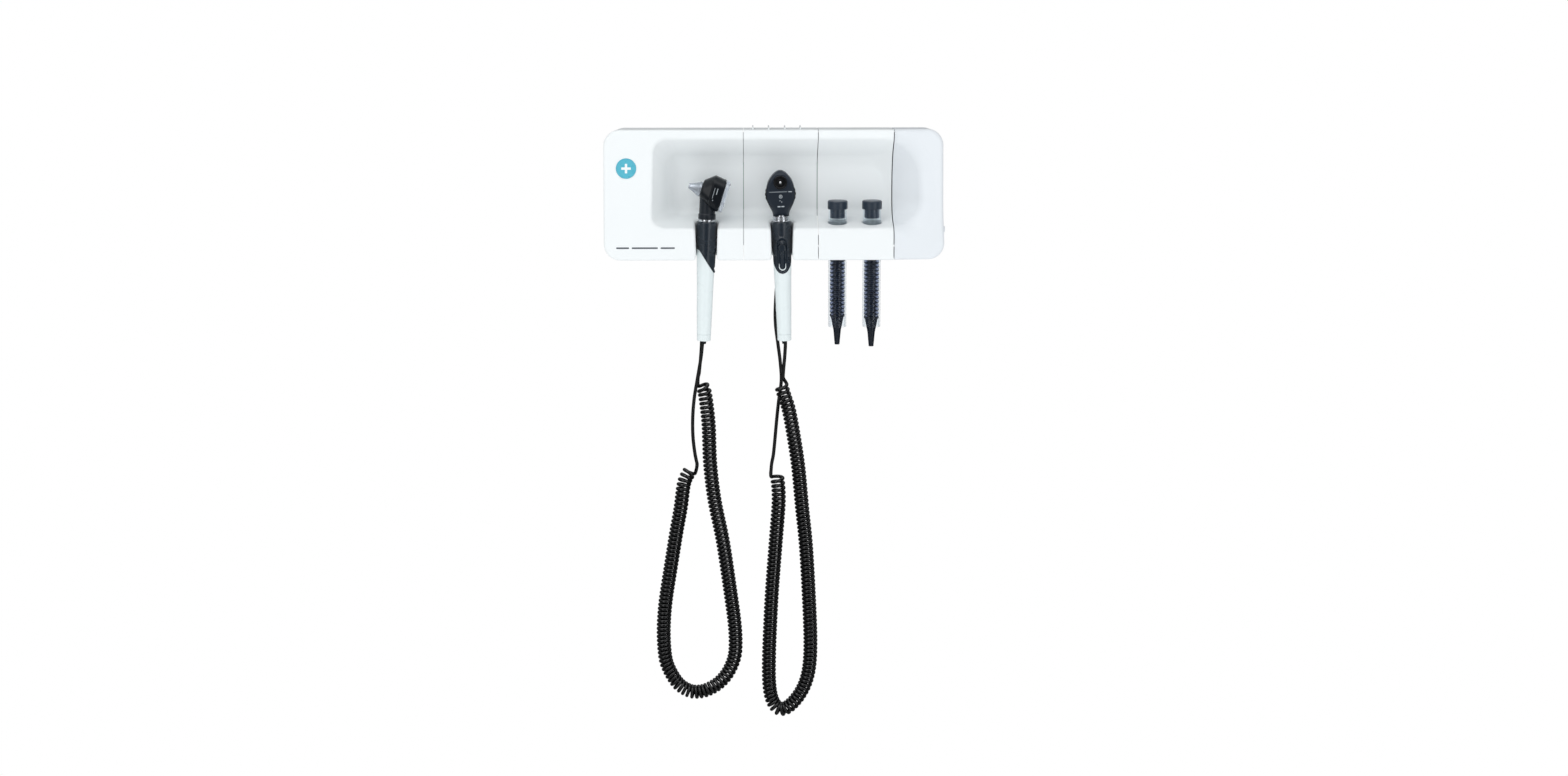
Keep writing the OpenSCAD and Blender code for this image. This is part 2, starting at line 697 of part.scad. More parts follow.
// Optic frame: z runs out along the optical axis from the lens plane, x runs up across it
module in_optic() in_oto()
    translate([16.2, 0, 28.8]) rotate([0, optic_tilt - 90, 0]) children();
module head_section(z, x0, x1, half_y) translate([(x0 + x1) / 2, 0, z])
    scale([(x1 - x0) / 2, half_y, 1]) cylinder(r = 1, h = disc_t, $fn = 40);

module otoscope_neck() color(black) in_oto() difference() {
    revolve([
        [0, 2.85], [9.3, 2.85], [9.6, 3.2], [9.6, 7.2], [8.6, 8.8],
        [7.8, 9.2], [7.8, 19.8], [0, 19.8]
    ]);
    rod(socket_r, 0, 7.15);
    rod(lamp_bore, 5, 20, fn = 48);
}
module otoscope_head_housing() color(black) difference() {
    in_optic() hull() {
        for (x = eye_xs, y = eye_ys) rod(eye_r, 0, disc_t, fn = 40, x = x, y = y);
        for (s = head_sections) head_section(s[0], s[1], s[2], s[3]);
    }
    in_optic() {
        rod(9, -1, 15);
        rod(6.5, -1, 30);
        rod(1.25, -1, 7.2, fn = 32, x = lens_pin_x);
    }
    in_oto() {
        rod(7.9, -5, 25);
        rod(2.4, 15, 14, fn = 32);
    }
}
module otoscope_lamp() in_oto() lamp();
module otoscope_light_cone() color([0.3, 0.32, 0.34]) in_optic() revolve([
    [5.2, 14.1], [6.4, 14.1], [6.4, 24.1], [7.3, 24.1], [7.3, 26.4],
    [6.2, 26.6], [2.2, 36], [1.7, 36], [5.2, 25.5]
]);
module otoscope_speculum() color([0.86, 0.88, 0.9]) in_optic() revolve([
    [7.4, 24.3], [8.2, 24.3], [8.2, 27], [7.6, 27.2], [2.9, 24.2 + spec_l],
    [2.4, 24.2 + spec_l], [7, 27.1], [7.4, 26.9]
]);
module otoscope_lens_frame() color([0.9, 0.92, 0.95, 0.6]) in_optic() difference() {
    translate([0, 0, -4.3]) linear_extrude(3.9) {
        square([13.2, 27], center = true);
        square([35, 5], center = true);
        for (x = eye_xs, y = eye_ys) translate([x, y]) circle(r = eye_r, $fn = 64);
    }
    rod(lens_r + 0.05, -6, 8, fn = 96);
    rod(1.3, -6, 8, fn = 32, x = lens_pin_x);
}
module otoscope_lens() color([0.8, 0.88, 0.95, 0.4]) in_optic() intersection() {
    rod(lens_r, lens_z0, lens_z1 - lens_z0, fn = 96);
    translate([0, 0, lens_z0 + lens_face_r]) sphere(r = lens_face_r, $fn = 128);
    translate([0, 0, lens_z1 - lens_face_r]) sphere(r = lens_face_r, $fn = 128);
}
module otoscope_lens_pin() color(steel) in_optic() translate([lens_pin_x, 0, -5.2]) {
    rod(2.1, 0, 0.85, fn = 32);
    rod(1.2, 0, 11.2, fn = 32);
}

// ---------- ophthalmoscope head (local frame: x across, -y towards the viewer) ----------

wheel_z = 29.8;
sight_z = 43.8;
// Right half of the head's outline from the foot up: [x, z]
head_outline = [
    [9, 6.3], [9.1, 8.7], [9.8, 11.2], [12, 16.1], [14.1, 21.1], [15.3, 26],
    [15.6, 33.3], [15.1, 38.3], [13.6, 43.3], [11.1, 48.1], [6.4, 53.1], [2.4, 55.6]
];

// Half of the head shell between two depths; children are cut away too
module head_half(y0, y1) difference() {
    intersection() {
        translate([0, y1, 0]) rotate([90, 0, 0]) linear_extrude(y1 - y0) polygon(concat(
            head_outline,
            [for (i = [len(head_outline) - 1 : -1 : 0]) [-head_outline[i][0], head_outline[i][1]]]));
        union() {
            rod(11, 6, 60);
            box([-20, -10.2, 14], [40, 20, 50]);
        }
    }
    rod_y(13, -5, 1.2, 30);
    // axle and sight holes
    rod_y(1.55, -20, 20, wheel_z, fn = 32);
    rod_y(2.3, -20, 20, sight_z, fn = 32);
    // connector socket and lamp bore
    rod(socket_r, -5, 12.2);
    rod(lamp_bore, 5, 14, fn = 48);
    // slots for the aperture wheel and the lens wheel
    rod_y(16.9, -8.9, -6.3, wheel_z);
    rod_y(17.4, 2.3, 6.2, wheel_z);
    children();
}
module ophthalmoscope_head_front() color(black) in_oph()
    head_half(-11, -0.1) rod_y(7.6, -20, -9.6, sight_z);
module ophthalmoscope_head_back() color(black) in_oph()
    head_half(0.1, 11) rod_y(5.2, 8.6, 20, sight_z);
module ophthalmoscope_base_ring() color(steel) in_oph() revolve([
    [6.05, 2.85], [9, 2.85], [9.3, 3.2], [9.3, 5.8], [9, 6.2], [6.05, 6.2]
]);
module ophthalmoscope_window_bezel() color([0.08, 0.08, 0.09]) in_oph()
    translate([0, -9.65, sight_z]) rotate([90, 0, 0]) revolve([
        [1.4, 0], [7.4, 0], [7.4, 1.9], [6.6, 2.1], [5.6, 1.2], [2.4, 0.7], [1.4, 0.7]
    ], fn = 64);

// Wheel on the axle, with edge notches and a ring of openings that pass the sight line;
// z is its rear face's distance towards the viewer, overhang is how far the notch
// centres lie outside the rim
module wheel(r, z, h, notches, notch_r, overhang, openings)
    translate([0, 0, wheel_z]) rotate([90, 0, 0]) difference() {
        rod(r, z, h, fn = 128);
        rod(1.6, z - 4, 10, fn = 32);
        for (i = [0 : notches - 1]) rotate([0, 0, (i + 0.5) * 360 / notches])
            rod(notch_r, z - 4, 10, fn = 24, x = r + overhang);
        for (i = [0 : openings - 1]) rotate([0, 0, 90 + i * 360 / openings])
            rod(1.4, z - 4, 10, fn = 24, x = sight_z - wheel_z);
    }
module ophthalmoscope_lens_wheel() color(wheel_black) in_oph()
    wheel(r = lens_wheel_r, z = -6, h = 3.5, notches = scallops, notch_r = 1.3,
        overhang = 0.7, openings = lens_count);
module ophthalmoscope_aperture_wheel() color(wheel_black) in_oph()
    wheel(r = 16.3, z = 6.6, h = 2, notches = 2 * scallops, notch_r = 0.7,
        overhang = 0.4, openings = aperture_count);
module ophthalmoscope_wheel_axle() color(steel) in_oph() rod_y(1.5, -9.9, 9, wheel_z, fn = 32);
// The mirror's profile points are [y, z]
module ophthalmoscope_mirror() color([0.9, 0.92, 0.95]) in_oph()
    translate([-3.5, 0, 0]) rotate([90, 0, 90]) linear_extrude(7)
        polygon([[-4.95, 36], [1, 36], [1, 36.8], [-4.95, 42]]);
module ophthalmoscope_lamp() in_oph() lamp();
module ophthalmoscope_brow_pad() color([0.1, 0.1, 0.11]) in_oph()
    translate([0, 8.65, sight_z]) rotate([-90, 0, 0]) revolve([
        [2.4, 0], [5.1, 0], [5.1, 2.4], [7, 2.4], [7.4, 3.2], [6.6, 4], [2.4, 4]
    ], fn = 64);

// ---------- nodes ----------

wall_plate();
power_cover();
middle_cover();
dispenser_cover();
end_cover();
cover_screws();
transformer();
control_board();
power_inlet();
switch_frame();
switch_rocker();
side_button();
fork_liners();
fork_sensors();
badge();
cord_grommets();
otoscope_cord();
ophthalmoscope_cord();
speculum_tubes();
specula_stacks();
left_tube_cap();
right_tube_cap();
left_next_speculum();
right_next_speculum();
otoscope_handle_sleeve();
otoscope_grip();
otoscope_connector_ring();
otoscope_contact_pin();
otoscope_contact_spring();
otoscope_dimmer_board();
otoscope_dimmer_button();
otoscope_end_cap();
otoscope_cord_relief();
otoscope_neck();
otoscope_head_housing();
otoscope_lamp();
otoscope_light_cone();
otoscope_speculum();
otoscope_lens_frame();
otoscope_lens();
otoscope_lens_pin();
ophthalmoscope_handle_sleeve();
ophthalmoscope_grip();
ophthalmoscope_connector_ring();
ophthalmoscope_contact_pin();
ophthalmoscope_contact_spring();
ophthalmoscope_dimmer_board();
ophthalmoscope_dimmer_button();
ophthalmoscope_end_cap();
ophthalmoscope_cord_relief();
ophthalmoscope_base_ring();
ophthalmoscope_head_front();
ophthalmoscope_head_back();
ophthalmoscope_window_bezel();
ophthalmoscope_lens_wheel();
ophthalmoscope_aperture_wheel();
ophthalmoscope_wheel_axle();
ophthalmoscope_mirror();
ophthalmoscope_lamp();
ophthalmoscope_brow_pad();
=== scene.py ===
"""Wall station with an otoscope and an ophthalmoscope on coiled cords.

x runs along the station, the wall is at y = 0, the front faces -y and z is up.
The otoscope hangs at x < 0, the ophthalmoscope near x = 8 and the speculum tubes further to +x.
Shapes are worked out in millimetres; make() turns them into metres.
"""

import math

import bpy
import numpy as np
from mathutils import Matrix, Vector

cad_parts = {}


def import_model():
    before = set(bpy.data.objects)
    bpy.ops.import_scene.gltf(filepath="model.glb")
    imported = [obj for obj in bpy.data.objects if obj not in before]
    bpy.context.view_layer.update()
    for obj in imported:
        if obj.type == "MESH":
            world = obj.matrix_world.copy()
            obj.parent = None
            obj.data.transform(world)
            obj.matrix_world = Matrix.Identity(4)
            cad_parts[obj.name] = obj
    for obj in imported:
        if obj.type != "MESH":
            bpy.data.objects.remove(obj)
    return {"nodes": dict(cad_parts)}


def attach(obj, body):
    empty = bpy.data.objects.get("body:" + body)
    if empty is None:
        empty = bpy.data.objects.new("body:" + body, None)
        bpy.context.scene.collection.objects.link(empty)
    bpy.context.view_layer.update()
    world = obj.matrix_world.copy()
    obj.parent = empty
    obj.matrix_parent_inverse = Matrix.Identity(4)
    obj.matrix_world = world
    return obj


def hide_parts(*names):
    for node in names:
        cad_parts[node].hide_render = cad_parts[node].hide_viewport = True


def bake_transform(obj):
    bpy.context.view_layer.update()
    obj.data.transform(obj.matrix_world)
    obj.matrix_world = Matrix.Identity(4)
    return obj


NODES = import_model()["nodes"]
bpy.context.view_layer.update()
MM = 0.001


# ---------------------------------------------------------------- frames (mm)


def move(x, y, z):
    m = np.eye(4)
    m[:3, 3] = (x, y, z)
    return m


def turn(axis, degrees):
    """Right-handed turn about axis 0, 1 or 2."""
    m = np.eye(4)
    i, j = (axis + 1) % 3, (axis + 2) % 3
    angle = math.radians(degrees)
    m[i, i] = m[j, j] = math.cos(angle)
    m[j, i] = math.sin(angle)
    m[i, j] = -m[j, i]
    return m


def turn_x(degrees):
    return turn(0, degrees)


def turn_y(degrees):
    return turn(1, degrees)


HALF_WIDTH, HALF_HEIGHT = 186.0, 71.0
HEIGHT = 2 * HALF_HEIGHT
DEPTH_LOW, DEPTH_HIGH = 74, 62      # cover depth at its bottom and top edges
SEAMS = (-33.4, 48.2, 130.8)        # x of the seams between the four cover modules
FRONT_TILT = math.degrees(math.atan((DEPTH_LOW - DEPTH_HIGH) / HEIGHT))
HANG_Y, HANG_Z = -48, -31           # axis of tubes and handles; height of the handle origins
FORKS = (-74.2, 8.6)
TUBES = (70.0, 107.8)
CORD_HOLES = (-78, 5)
CORD_HOLE_Y = -27

OTOSCOPE = move(-73.8, HANG_Y, HANG_Z) @ turn_y(1.84)
OPHTHALMOSCOPE = move(8.0, HANG_Y, HANG_Z) @ turn_y(-1.54)
OPHTHALMOSCOPE_GRIP = OPHTHALMOSCOPE @ turn(2, -90)
# Local z of the otoscope optics runs from the lens to the speculum, local x is upwards.
OPTICS = OTOSCOPE @ move(16.2, 0, 28.8) @ turn_y(15.2 - 90)


def front_y(z):
    return -(DEPTH_LOW + (z + HALF_HEIGHT) * (DEPTH_HIGH - DEPTH_LOW) / HEIGHT)


def on_front(x, z):
    """Frame on the front plane: local x right, local y up, local z out of the front."""
    return move(x, front_y(z), z) @ turn_x(90 - FRONT_TILT)


# ---------------------------------------------------------------- curves and outlines


def unit(vector):
    vector = np.asarray(vector, float)
    return vector / np.linalg.norm(vector)


def catmull(points, steps):
    """Open Catmull-Rom curve through the points."""
    p = np.asarray(points, float)
    last = len(p) - 1
    out = []
    for i in range(last):
        a, b, c, d = p[max(i - 1, 0)], p[i], p[i + 1], p[min(i + 2, last)]
        for k in range(steps):
            t = k / steps
            out.append(0.5 * (2 * b + (c - a) * t + (2 * a - 5 * b + 4 * c - d) * t * t
                              + (3 * b - a - 3 * c + d) * t ** 3))
    out.append(p[-1])
    return np.array(out)


def rounded(points, closed=True, steps=5):
    """Outline of (x, y[, radius]) with each corner rounded by a short arc."""
    points = [(p[0], p[1], p[2] if len(p) > 2 else 0.0) for p in points]
    out = []
    count = len(points)
    for i, (x, y, radius) in enumerate(points):
        if radius <= 0 or (not closed and i in (0, count - 1)):
            out.append((x, y))
            continue
        corner = np.array((x, y))
        back = np.array(points[i - 1][:2]) - corner
        ahead = np.array(points[(i + 1) % count][:2]) - corner
        back_length, ahead_length = np.linalg.norm(back), np.linalg.norm(ahead)
        back, ahead = back / back_length, ahead / ahead_length
        angle = math.acos(max(-1, min(1, float(back @ ahead))))
        if angle > math.pi - 0.02:
            out.append((x, y))
            continue
        trim = min(radius / math.tan(angle / 2), 0.48 * back_length, 0.48 * ahead_length)
        fitted = trim * math.tan(angle / 2)
        bisector = (back + ahead) / np.linalg.norm(back + ahead)
        centre = corner + bisector * fitted / math.sin(angle / 2)
        start = math.atan2(*(corner + back * trim - centre)[::-1])
        end = math.atan2(*(corner + ahead * trim - centre)[::-1])
        span = (end - start + math.pi) % (2 * math.pi) - math.pi
        for k in range(steps + 1):
            a = start + span * k / steps
            out.append((centre[0] + fitted * math.cos(a), centre[1] + fitted * math.sin(a)))
    return out


def rectangle(x0, x1, y0, y1, radius=0.0, steps=5):
    corners = ((x0, y0), (x1, y0), (x1, y1), (x0, y1))
    return rounded([(*c, radius) for c in corners], steps=steps)


def circle(radius, count):
    angles = [2 * math.pi * k / count for k in range(count)]
    return [(radius * math.cos(a), radius * math.sin(a)) for a in angles]


def upright_stadium(radius, length, steps=24):
    out = []
    for side, start in ((1, -90), (-1, 90)):
        for k in range(steps + 1):
            a = math.radians(start + 180 * k / steps)
            out.append((-radius * math.sin(a), side * length / 2 + radius * math.cos(a)))
    return out


def look_up(table, x):
    """Value at x in a table of (x, value), straight between its rows."""
    return np.interp(x, *zip(*table))


# ---------------------------------------------------------------- distance fields


def round_max(a, b, r):
    """Intersection of two fields with the edge rounded to radius r."""
    return np.minimum(-r, np.maximum(a, b)) + np.hypot(np.maximum(a + r, 0), np.maximum(b + r, 0))


def round_min(a, b, r):
    return -round_max(-a, -b, r)


def ease(t):
    t = np.clip(t, 0, 1)
    return t * t * (3 - 2 * t)


def round_rectangle(x, y, half_x, half_y, r):
    qx, qy = np.abs(x) - half_x + r, np.abs(y) - half_y + r
    outside = np.hypot(np.maximum(qx, 0), np.maximum(qy, 0))
    return outside + np.minimum(np.maximum(qx, qy), 0) - r


def polygon_distance(x, y, polygon):
    best = inside = None
    for i, (ax, ay) in enumerate(polygon):
        bx, by = polygon[(i + 1) % len(polygon)]
        ex, ey = bx - ax, by - ay
        wx, wy = x - ax, y - ay
        t = np.clip((wx * ex + wy * ey) / (ex * ex + ey * ey), 0, 1)
        d = (wx - ex * t) ** 2 + (wy - ey * t) ** 2
        best = d if best is None else np.minimum(best, d)
        # 1e-30 keeps level edges from dividing by zero
        cross = ((ay > y) != (by > y)) & (x < (bx - ax) * (y - ay) / (by - ay + 1e-30) + ax)
        inside = cross if inside is None else inside ^ cross
    distance = np.sqrt(best)
    return np.where(inside, -distance, distance)


def surface_net(field, low, high, step):
    """Points and quads of field(x, y, z) = 0, negative inside, pulled onto the surface."""
    count = [int(round((high[i] - low[i]) / step)) + 1 for i in range(3)]
    gx, gy, gz = [low[i] + step * np.arange(count[i]) for i in range(3)]
    value = np.empty(count)
    for i in range(0, count[0], 48):
        value[i:i + 48] = field(gx[i:i + 48, None, None], gy[None, :, None], gz[None, None, :])
    solid = value < 0
    cells, crossings, quads = [], [], []
    base = 0
    for a in range(3):
        b, c = (a + 1) % 3, (a + 2) % 3
        near, far = [slice(None)] * 3, [slice(None)] * 3
        near[a], far[a] = slice(None, -1), slice(1, None)
        start = np.argwhere(solid[tuple(near)] != solid[tuple(far)])
        keep = (start[:, b] > 0) & (start[:, c] > 0)
        keep &= (start[:, b] < count[b] - 1) & (start[:, c] < count[c] - 1)
        start = start[keep]
        end = start.copy()
        end[:, a] += 1
        d0, d1 = value[tuple(start.T)], value[tuple(end.T)]
        crossing = start.astype(float)
        crossing[:, a] += d0 / (d0 - d1)
        # the four cells round each grid edge that crosses the surface
        for shift_b, shift_c in ((-1, -1), (0, -1), (0, 0), (-1, 0)):
            cell = start.copy()
            cell[:, b] += shift_b
            cell[:, c] += shift_c
            cells.append((cell[:, 0] * (count[1] - 1) + cell[:, 1]) * (count[2] - 1) + cell[:, 2])
            crossings.append(crossing)
        m = len(start)
        quad = base + np.stack([np.arange(m) + k * m for k in range(4)], 1)
        outward = ~solid[tuple(start.T)]
        quad[outward] = quad[outward][:, ::-1]
        quads.append(quad)
        base += 4 * m
    crossings = np.concatenate(crossings)
    _, index = np.unique(np.concatenate(cells), return_inverse=True)
    shares = np.bincount(index)
    mean = np.stack([np.bincount(index, weights=crossings[:, k]) / shares for k in range(3)], 1)
    start = mean * step + np.array(low)
    v = start.copy()
    e = 0.04 * step
    for _ in range(4):
        x, y, z = v[:, 0], v[:, 1], v[:, 2]
        slope = np.stack([field(x + e, y, z) - field(x - e, y, z),
                          field(x, y + e, z) - field(x, y - e, z),
                          field(x, y, z + e) - field(x, y, z - e)], 1) / (2 * e)
        steep = np.maximum((slope * slope).sum(1), 0.15)
        v = v - np.clip(slope * (field(x, y, z) / steep)[:, None], -0.35 * step, 0.35 * step)
        v = start + np.clip(v - start, -0.85 * step, 0.85 * step)
    return v, index[np.concatenate(quads)]


# ---------------------------------------------------------------- meshes


def shade(ob, angle):
    ob.data.shade_smooth()
    ob.data.set_sharp_from_angle(angle=math.radians(angle))


def make(name, v, f, material, frame=None, smooth=40):
    """Object from points in mm and faces (an array of equal faces or a list of tuples)."""
    v = np.asarray(v, float)
    if frame is not None:
        v = v @ frame[:3, :3].T + frame[:3, 3]
    v = v * MM
    mesh = bpy.data.meshes.new(name)
    if isinstance(f, np.ndarray):
        k = f.shape[1]
        mesh.vertices.add(len(v))
        mesh.vertices.foreach_set("co", v.astype(np.float32).ravel())
        mesh.loops.add(f.size)
        mesh.loops.foreach_set("vertex_index", f.astype(np.int32).ravel())
        mesh.polygons.add(len(f))
        mesh.polygons.foreach_set("loop_start", np.arange(0, f.size, k, dtype=np.int32))
        mesh.polygons.foreach_set("loop_total", np.full(len(f), k, np.int32))
        mesh.update(calc_edges=True)
    else:
        mesh.from_pydata([tuple(p) for p in v], [], [tuple(int(i) for i in q) for q in f])
        mesh.update()
    mesh.validate()
    ob = bpy.data.objects.new(name, mesh)
    bpy.context.scene.collection.objects.link(ob)
    if material is not None:
        mesh.materials.append(material)
    shade(ob, smooth)
    return ob


def spin(outline, count, groove=lambda r, z, a: 0.0):
    """Points round local z and the index ring of each (r, z); groove cuts into the radius."""
    points, rings = [], []
    for r, z in outline:
        first = len(points)
        if r <= 1e-9:
            rings.append([first] * count)
            points.append((0, 0, z))
            continue
        rings.append(list(range(first, first + count)))
        for k in range(count):
            a = 2 * math.pi * k / count
            reach = r - groove(r, z, a)
            points.append((reach * math.cos(a), reach * math.sin(a), z))
    return points, rings


def ring_faces(pairs, flip=False):
    """Quads between pairs of rings, triangles at the axis; flip winds them the other way."""
    faces = []
    for a, b in pairs:
        for k in range(len(a)):
            n = (k + 1) % len(a)
            quad = [a[k], b[k], b[n], a[n]] if flip else [a[k], a[n], b[n], b[k]]
            quad = [quad[j] for j in range(4) if quad[j] != quad[j - 1]]
            if len(quad) > 2:
                faces.append(tuple(quad))
    return faces


def lathe(name, profile, material, frame=None, count=96, smooth=35):
    """Solid turned about local z from (r, z[, corner radius]).

    The profile closes on itself unless it starts and ends on the axis.
    """
    on_axis = profile[0][0] == 0 and profile[-1][0] == 0
    p = rounded(profile, closed=not on_axis)
    points, rings = spin(p, count)
    pairs = list(zip(rings, rings[1:] + rings[:1]))
    faces = ring_faces(pairs[:-1] if on_axis else pairs)
    if sum(a[0] * b[1] - b[0] * a[1] for a, b in zip(p, p[1:] + p[:1])) < 0:
        faces = [q[::-1] for q in faces]
    return make(name, points, faces, material, frame, smooth)


def prism(name, outline, z0, z1, material, frame=None, bevel=0.0):
    """Extruded outline, with rounded bottom and top edges when bevel > 0."""
    p = np.asarray(outline, float)
    if 0.5 * np.sum(p[:, 0] * np.roll(p[:, 1], -1) - np.roll(p[:, 0], -1) * p[:, 1]) < 0:
        p = p[::-1]
    rings = [(p, z0), (p, z1)]
    if bevel > 0:
        along = np.roll(p, -1, 0) - np.roll(p, 1, 0)
        normal = np.stack([along[:, 1], -along[:, 0]], 1)
        normal /= np.maximum(np.linalg.norm(normal, axis=1), 1e-9)[:, None]
        arc = [math.pi / 2 * k / 4 for k in range(5)]
        levels = [(a, z0 + bevel * (1 - math.cos(a))) for a in arc]
        levels += [(a, z1 - bevel * (1 - math.cos(a))) for a in arc[::-1]]
        rings = [(p - normal * bevel * (1 - math.sin(a)), z) for a, z in levels]
    m = len(p)
    v = np.concatenate([np.column_stack([r, np.full(m, z)]) for r, z in rings])
    f = [(i + k, i + (k + 1) % m, i + m + (k + 1) % m, i + m + k)
         for i in range(0, (len(rings) - 1) * m, m) for k in range(m)]
    f.append(tuple(range(m - 1, -1, -1)))
    f.append(tuple((len(rings) - 1) * m + k for k in range(m)))
    return make(name, v, f, material, frame, smooth=35)


def sweep(name, path, radius, material, outward, sides=10):
    """Round wire along a path, with one outward direction per point."""
    p = np.asarray(path, float)
    t = np.gradient(p, axis=0)
    t /= np.linalg.norm(t, axis=1)[:, None]
    a = outward - (outward * t).sum(1)[:, None] * t
    a /= np.linalg.norm(a, axis=1)[:, None]
    b = np.cross(t, a)
    angle = 2 * np.pi * np.arange(sides) / sides
    v = p[:, None, :] + radius * (np.cos(angle)[None, :, None] * a[:, None, :]
                                  + np.sin(angle)[None, :, None] * b[:, None, :])
    m = len(p)
    i = np.arange(m - 1)[:, None] * sides
    k = np.arange(sides)[None, :]
    n = (k + 1) % sides
    quads = np.stack([i + k, i + n, i + sides + n, i + sides + k], -1).reshape(-1, 4)
    f = [tuple(q) for q in quads]
    f.append(tuple(range(sides - 1, -1, -1)))
    f.append(tuple((m - 1) * sides + j for j in range(sides)))
    return make(name, v.reshape(-1, 3), f, material, smooth=60)


def discard(*objects):
    for ob in objects:
        mesh = ob.data
        bpy.data.objects.remove(ob)
        bpy.data.meshes.remove(mesh)


def one_material(mesh, material):
    mesh.materials.clear()
    mesh.materials.append(material)
    mesh.polygons.foreach_set("material_index", np.zeros(len(mesh.polygons), np.int32))


def boolean(ob, cutters, operation="DIFFERENCE"):
    """Apply the cutters to ob and discard them."""
    for cutter in cutters:
        modifier = ob.modifiers.new("b", "BOOLEAN")
        modifier.operation = operation
        modifier.solver = "MANIFOLD"
        modifier.object = cutter
    graph = bpy.context.evaluated_depsgraph_get()
    mesh = bpy.data.meshes.new_from_object(ob.evaluated_get(graph))
    ob.modifiers.clear()
    old = ob.data
    ob.data = mesh
    bpy.data.meshes.remove(old)
    discard(*cutters)
    materials = [m for m in ob.data.materials if m is not None]
    if len(materials) > 1:
        one_material(ob.data, materials[0])
    shade(ob, 40)
    return ob


def cut_box(x0, x1, y0, y1, z0, z1):
    return prism("cut", rectangle(x0, x1, y0, y1), z0, z1, None)


def cut_cylinder(radius, z0, z1, frame=None, count=48):
    return prism("cut", circle(radius, count), z0, z1, None, frame)


def place(ob, frame):
    m = np.array(frame, float)
    m[:3, 3] *= MM
    ob.data.transform(Matrix([list(row) for row in m]))
    ob.data.update()
    return ob


def copy_piece(source, name):
    mesh = source.data.copy()
    ob = bpy.data.objects.new(name, mesh)
    mesh.name = name
    bpy.context.scene.collection.objects.link(ob)
    return ob


def finish_piece(ob, body, slot, *replaced):
    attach(ob, body)
    if replaced:
        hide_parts(*replaced)


# ---------------------------------------------------------------- materials


def node(tree, kind, inputs=None, **settings):
    """New shader node; each input is set to a value or linked to a socket."""
    made = tree.nodes.new("ShaderNode" + kind)
    for key, value in settings.items():
        setattr(made, key, value)
    for key, value in (inputs or {}).items():
        if isinstance(value, bpy.types.NodeSocket):
            tree.links.new(value, made.inputs[key])
        else:
            made.inputs[key].default_value = value
    return made


def calc(tree, operation, *values):
    return node(tree, "Math", dict(enumerate(values)), operation=operation).outputs[0]


def mix_color(tree, factor, a, b):
    return node(tree, "Mix", {0: factor, 6: a, 7: b}, data_type="RGBA").outputs[2]


def material(name, base, rough=0.4, metallic=0.0, bump=0.05, bump_scale=1500, var=0.03,
             var_scale=60, rough_var=0.06, coat=0.0, spec=0.5, edge_wear_and_highlight=0.0,
             edge_wear_and_highlight_color=(0.8, 0.8, 0.8), stretch=(1, 1, 1), cover=None, blend=0.5, gloss=None):
    """Principled surface with noise in its colour, roughness and relief.

    Raised edges are lightened, partly as worn edges and partly as a painted highlight.
    cover gives how opaque a clear material is seen face on and edge on, blend shapes that
    change, and gloss adds reflection between two strengths.
    """
    m = bpy.data.materials.new(name)
    m.use_nodes = True
    tree = m.node_tree
    tree.nodes.clear()
    out = node(tree, "OutputMaterial")
    surface = node(tree, "BsdfPrincipled")
    place_at = node(tree, "TexCoord").outputs["Object"]
    vector = node(tree, "Mapping", {0: place_at, "Scale": stretch}).outputs[0]
    patches = node(tree, "TexNoise", {"Scale": var_scale, "Detail": 3, "Vector": vector})
    patches = patches.outputs["Fac"]
    grain = node(tree, "TexNoise", {"Scale": bump_scale, "Detail": 2, "Vector": vector})
    base = np.array(base, float)
    light = np.minimum(base * (1 + var * 0.5), 1)
    color = mix_color(tree, patches, (*(base * (1 - var)), 1), (*light, 1))
    # lighter raised edges: partly worn edges, partly a painted highlight
    if edge_wear_and_highlight > 0:
        edges = node(tree, "NewGeometry").outputs["Pointiness"]
        amount = node(tree, "MapRange", {
            "Value": edges, "From Min": 0.57, "From Max": 0.7, "To Max": edge_wear_and_highlight}).outputs[0]
        factor = calc(tree, "MULTIPLY", amount, patches)
        color = mix_color(tree, factor, color, (*edge_wear_and_highlight_color, 1))
    roughness = node(tree, "MapRange", {
        "Value": patches, "From Min": 0.3, "From Max": 0.7,
        "To Min": max(rough - rough_var, 0.02), "To Max": min(rough + rough_var, 1)}).outputs[0]
    relief = node(tree, "Bump", {
        "Strength": bump, "Distance": 0.0004, "Height": grain.outputs["Fac"]}).outputs[0]
    for key, socket in (("Base Color", color), ("Roughness", roughness), ("Normal", relief)):
        tree.links.new(socket, surface.inputs[key])
    for key, value in (("Metallic", metallic), ("Coat Weight", coat),
                       ("Coat Roughness", 0.12), ("Specular IOR Level", spec)):
        surface.inputs[key].default_value = value
    shader = surface.outputs[0]
    if cover is not None:
        clear = node(tree, "BsdfTransparent", {0: (0.96, 0.98, 0.99, 1)}).outputs[0]
        angle = node(tree, "LayerWeight", {"Blend": blend})
        opacity = node(tree, "MapRange", {
            "Value": angle.outputs["Facing"], "To Min": cover[0], "To Max": cover[1]})
        shader = node(tree, "MixShader", {0: opacity.outputs[0], 1: clear, 2: shader}).outputs[0]
        if gloss is not None:
            shine = node(tree, "BsdfGlossy", {
                "Color": (0.97, 0.98, 1.0, 1), "Roughness": roughness, "Normal": relief})
            strength = node(tree, "MapRange", {
                "Value": angle.outputs["Fresnel"], "To Min": gloss[0], "To Max": gloss[1]})
            shader = node(tree, "MixShader", {
                0: strength.outputs[0], 1: shader, 2: shine.outputs[0]}).outputs[0]
    tree.links.new(shader, out.inputs[0])
    return m


def srgb(r, g, b):
    """Linear colour from 0-255 display values."""
    return tuple(((c / 255 + 0.055) / 1.055) ** 2.4 if c > 10 else c / 255 / 12.92
                 for c in (r, g, b))
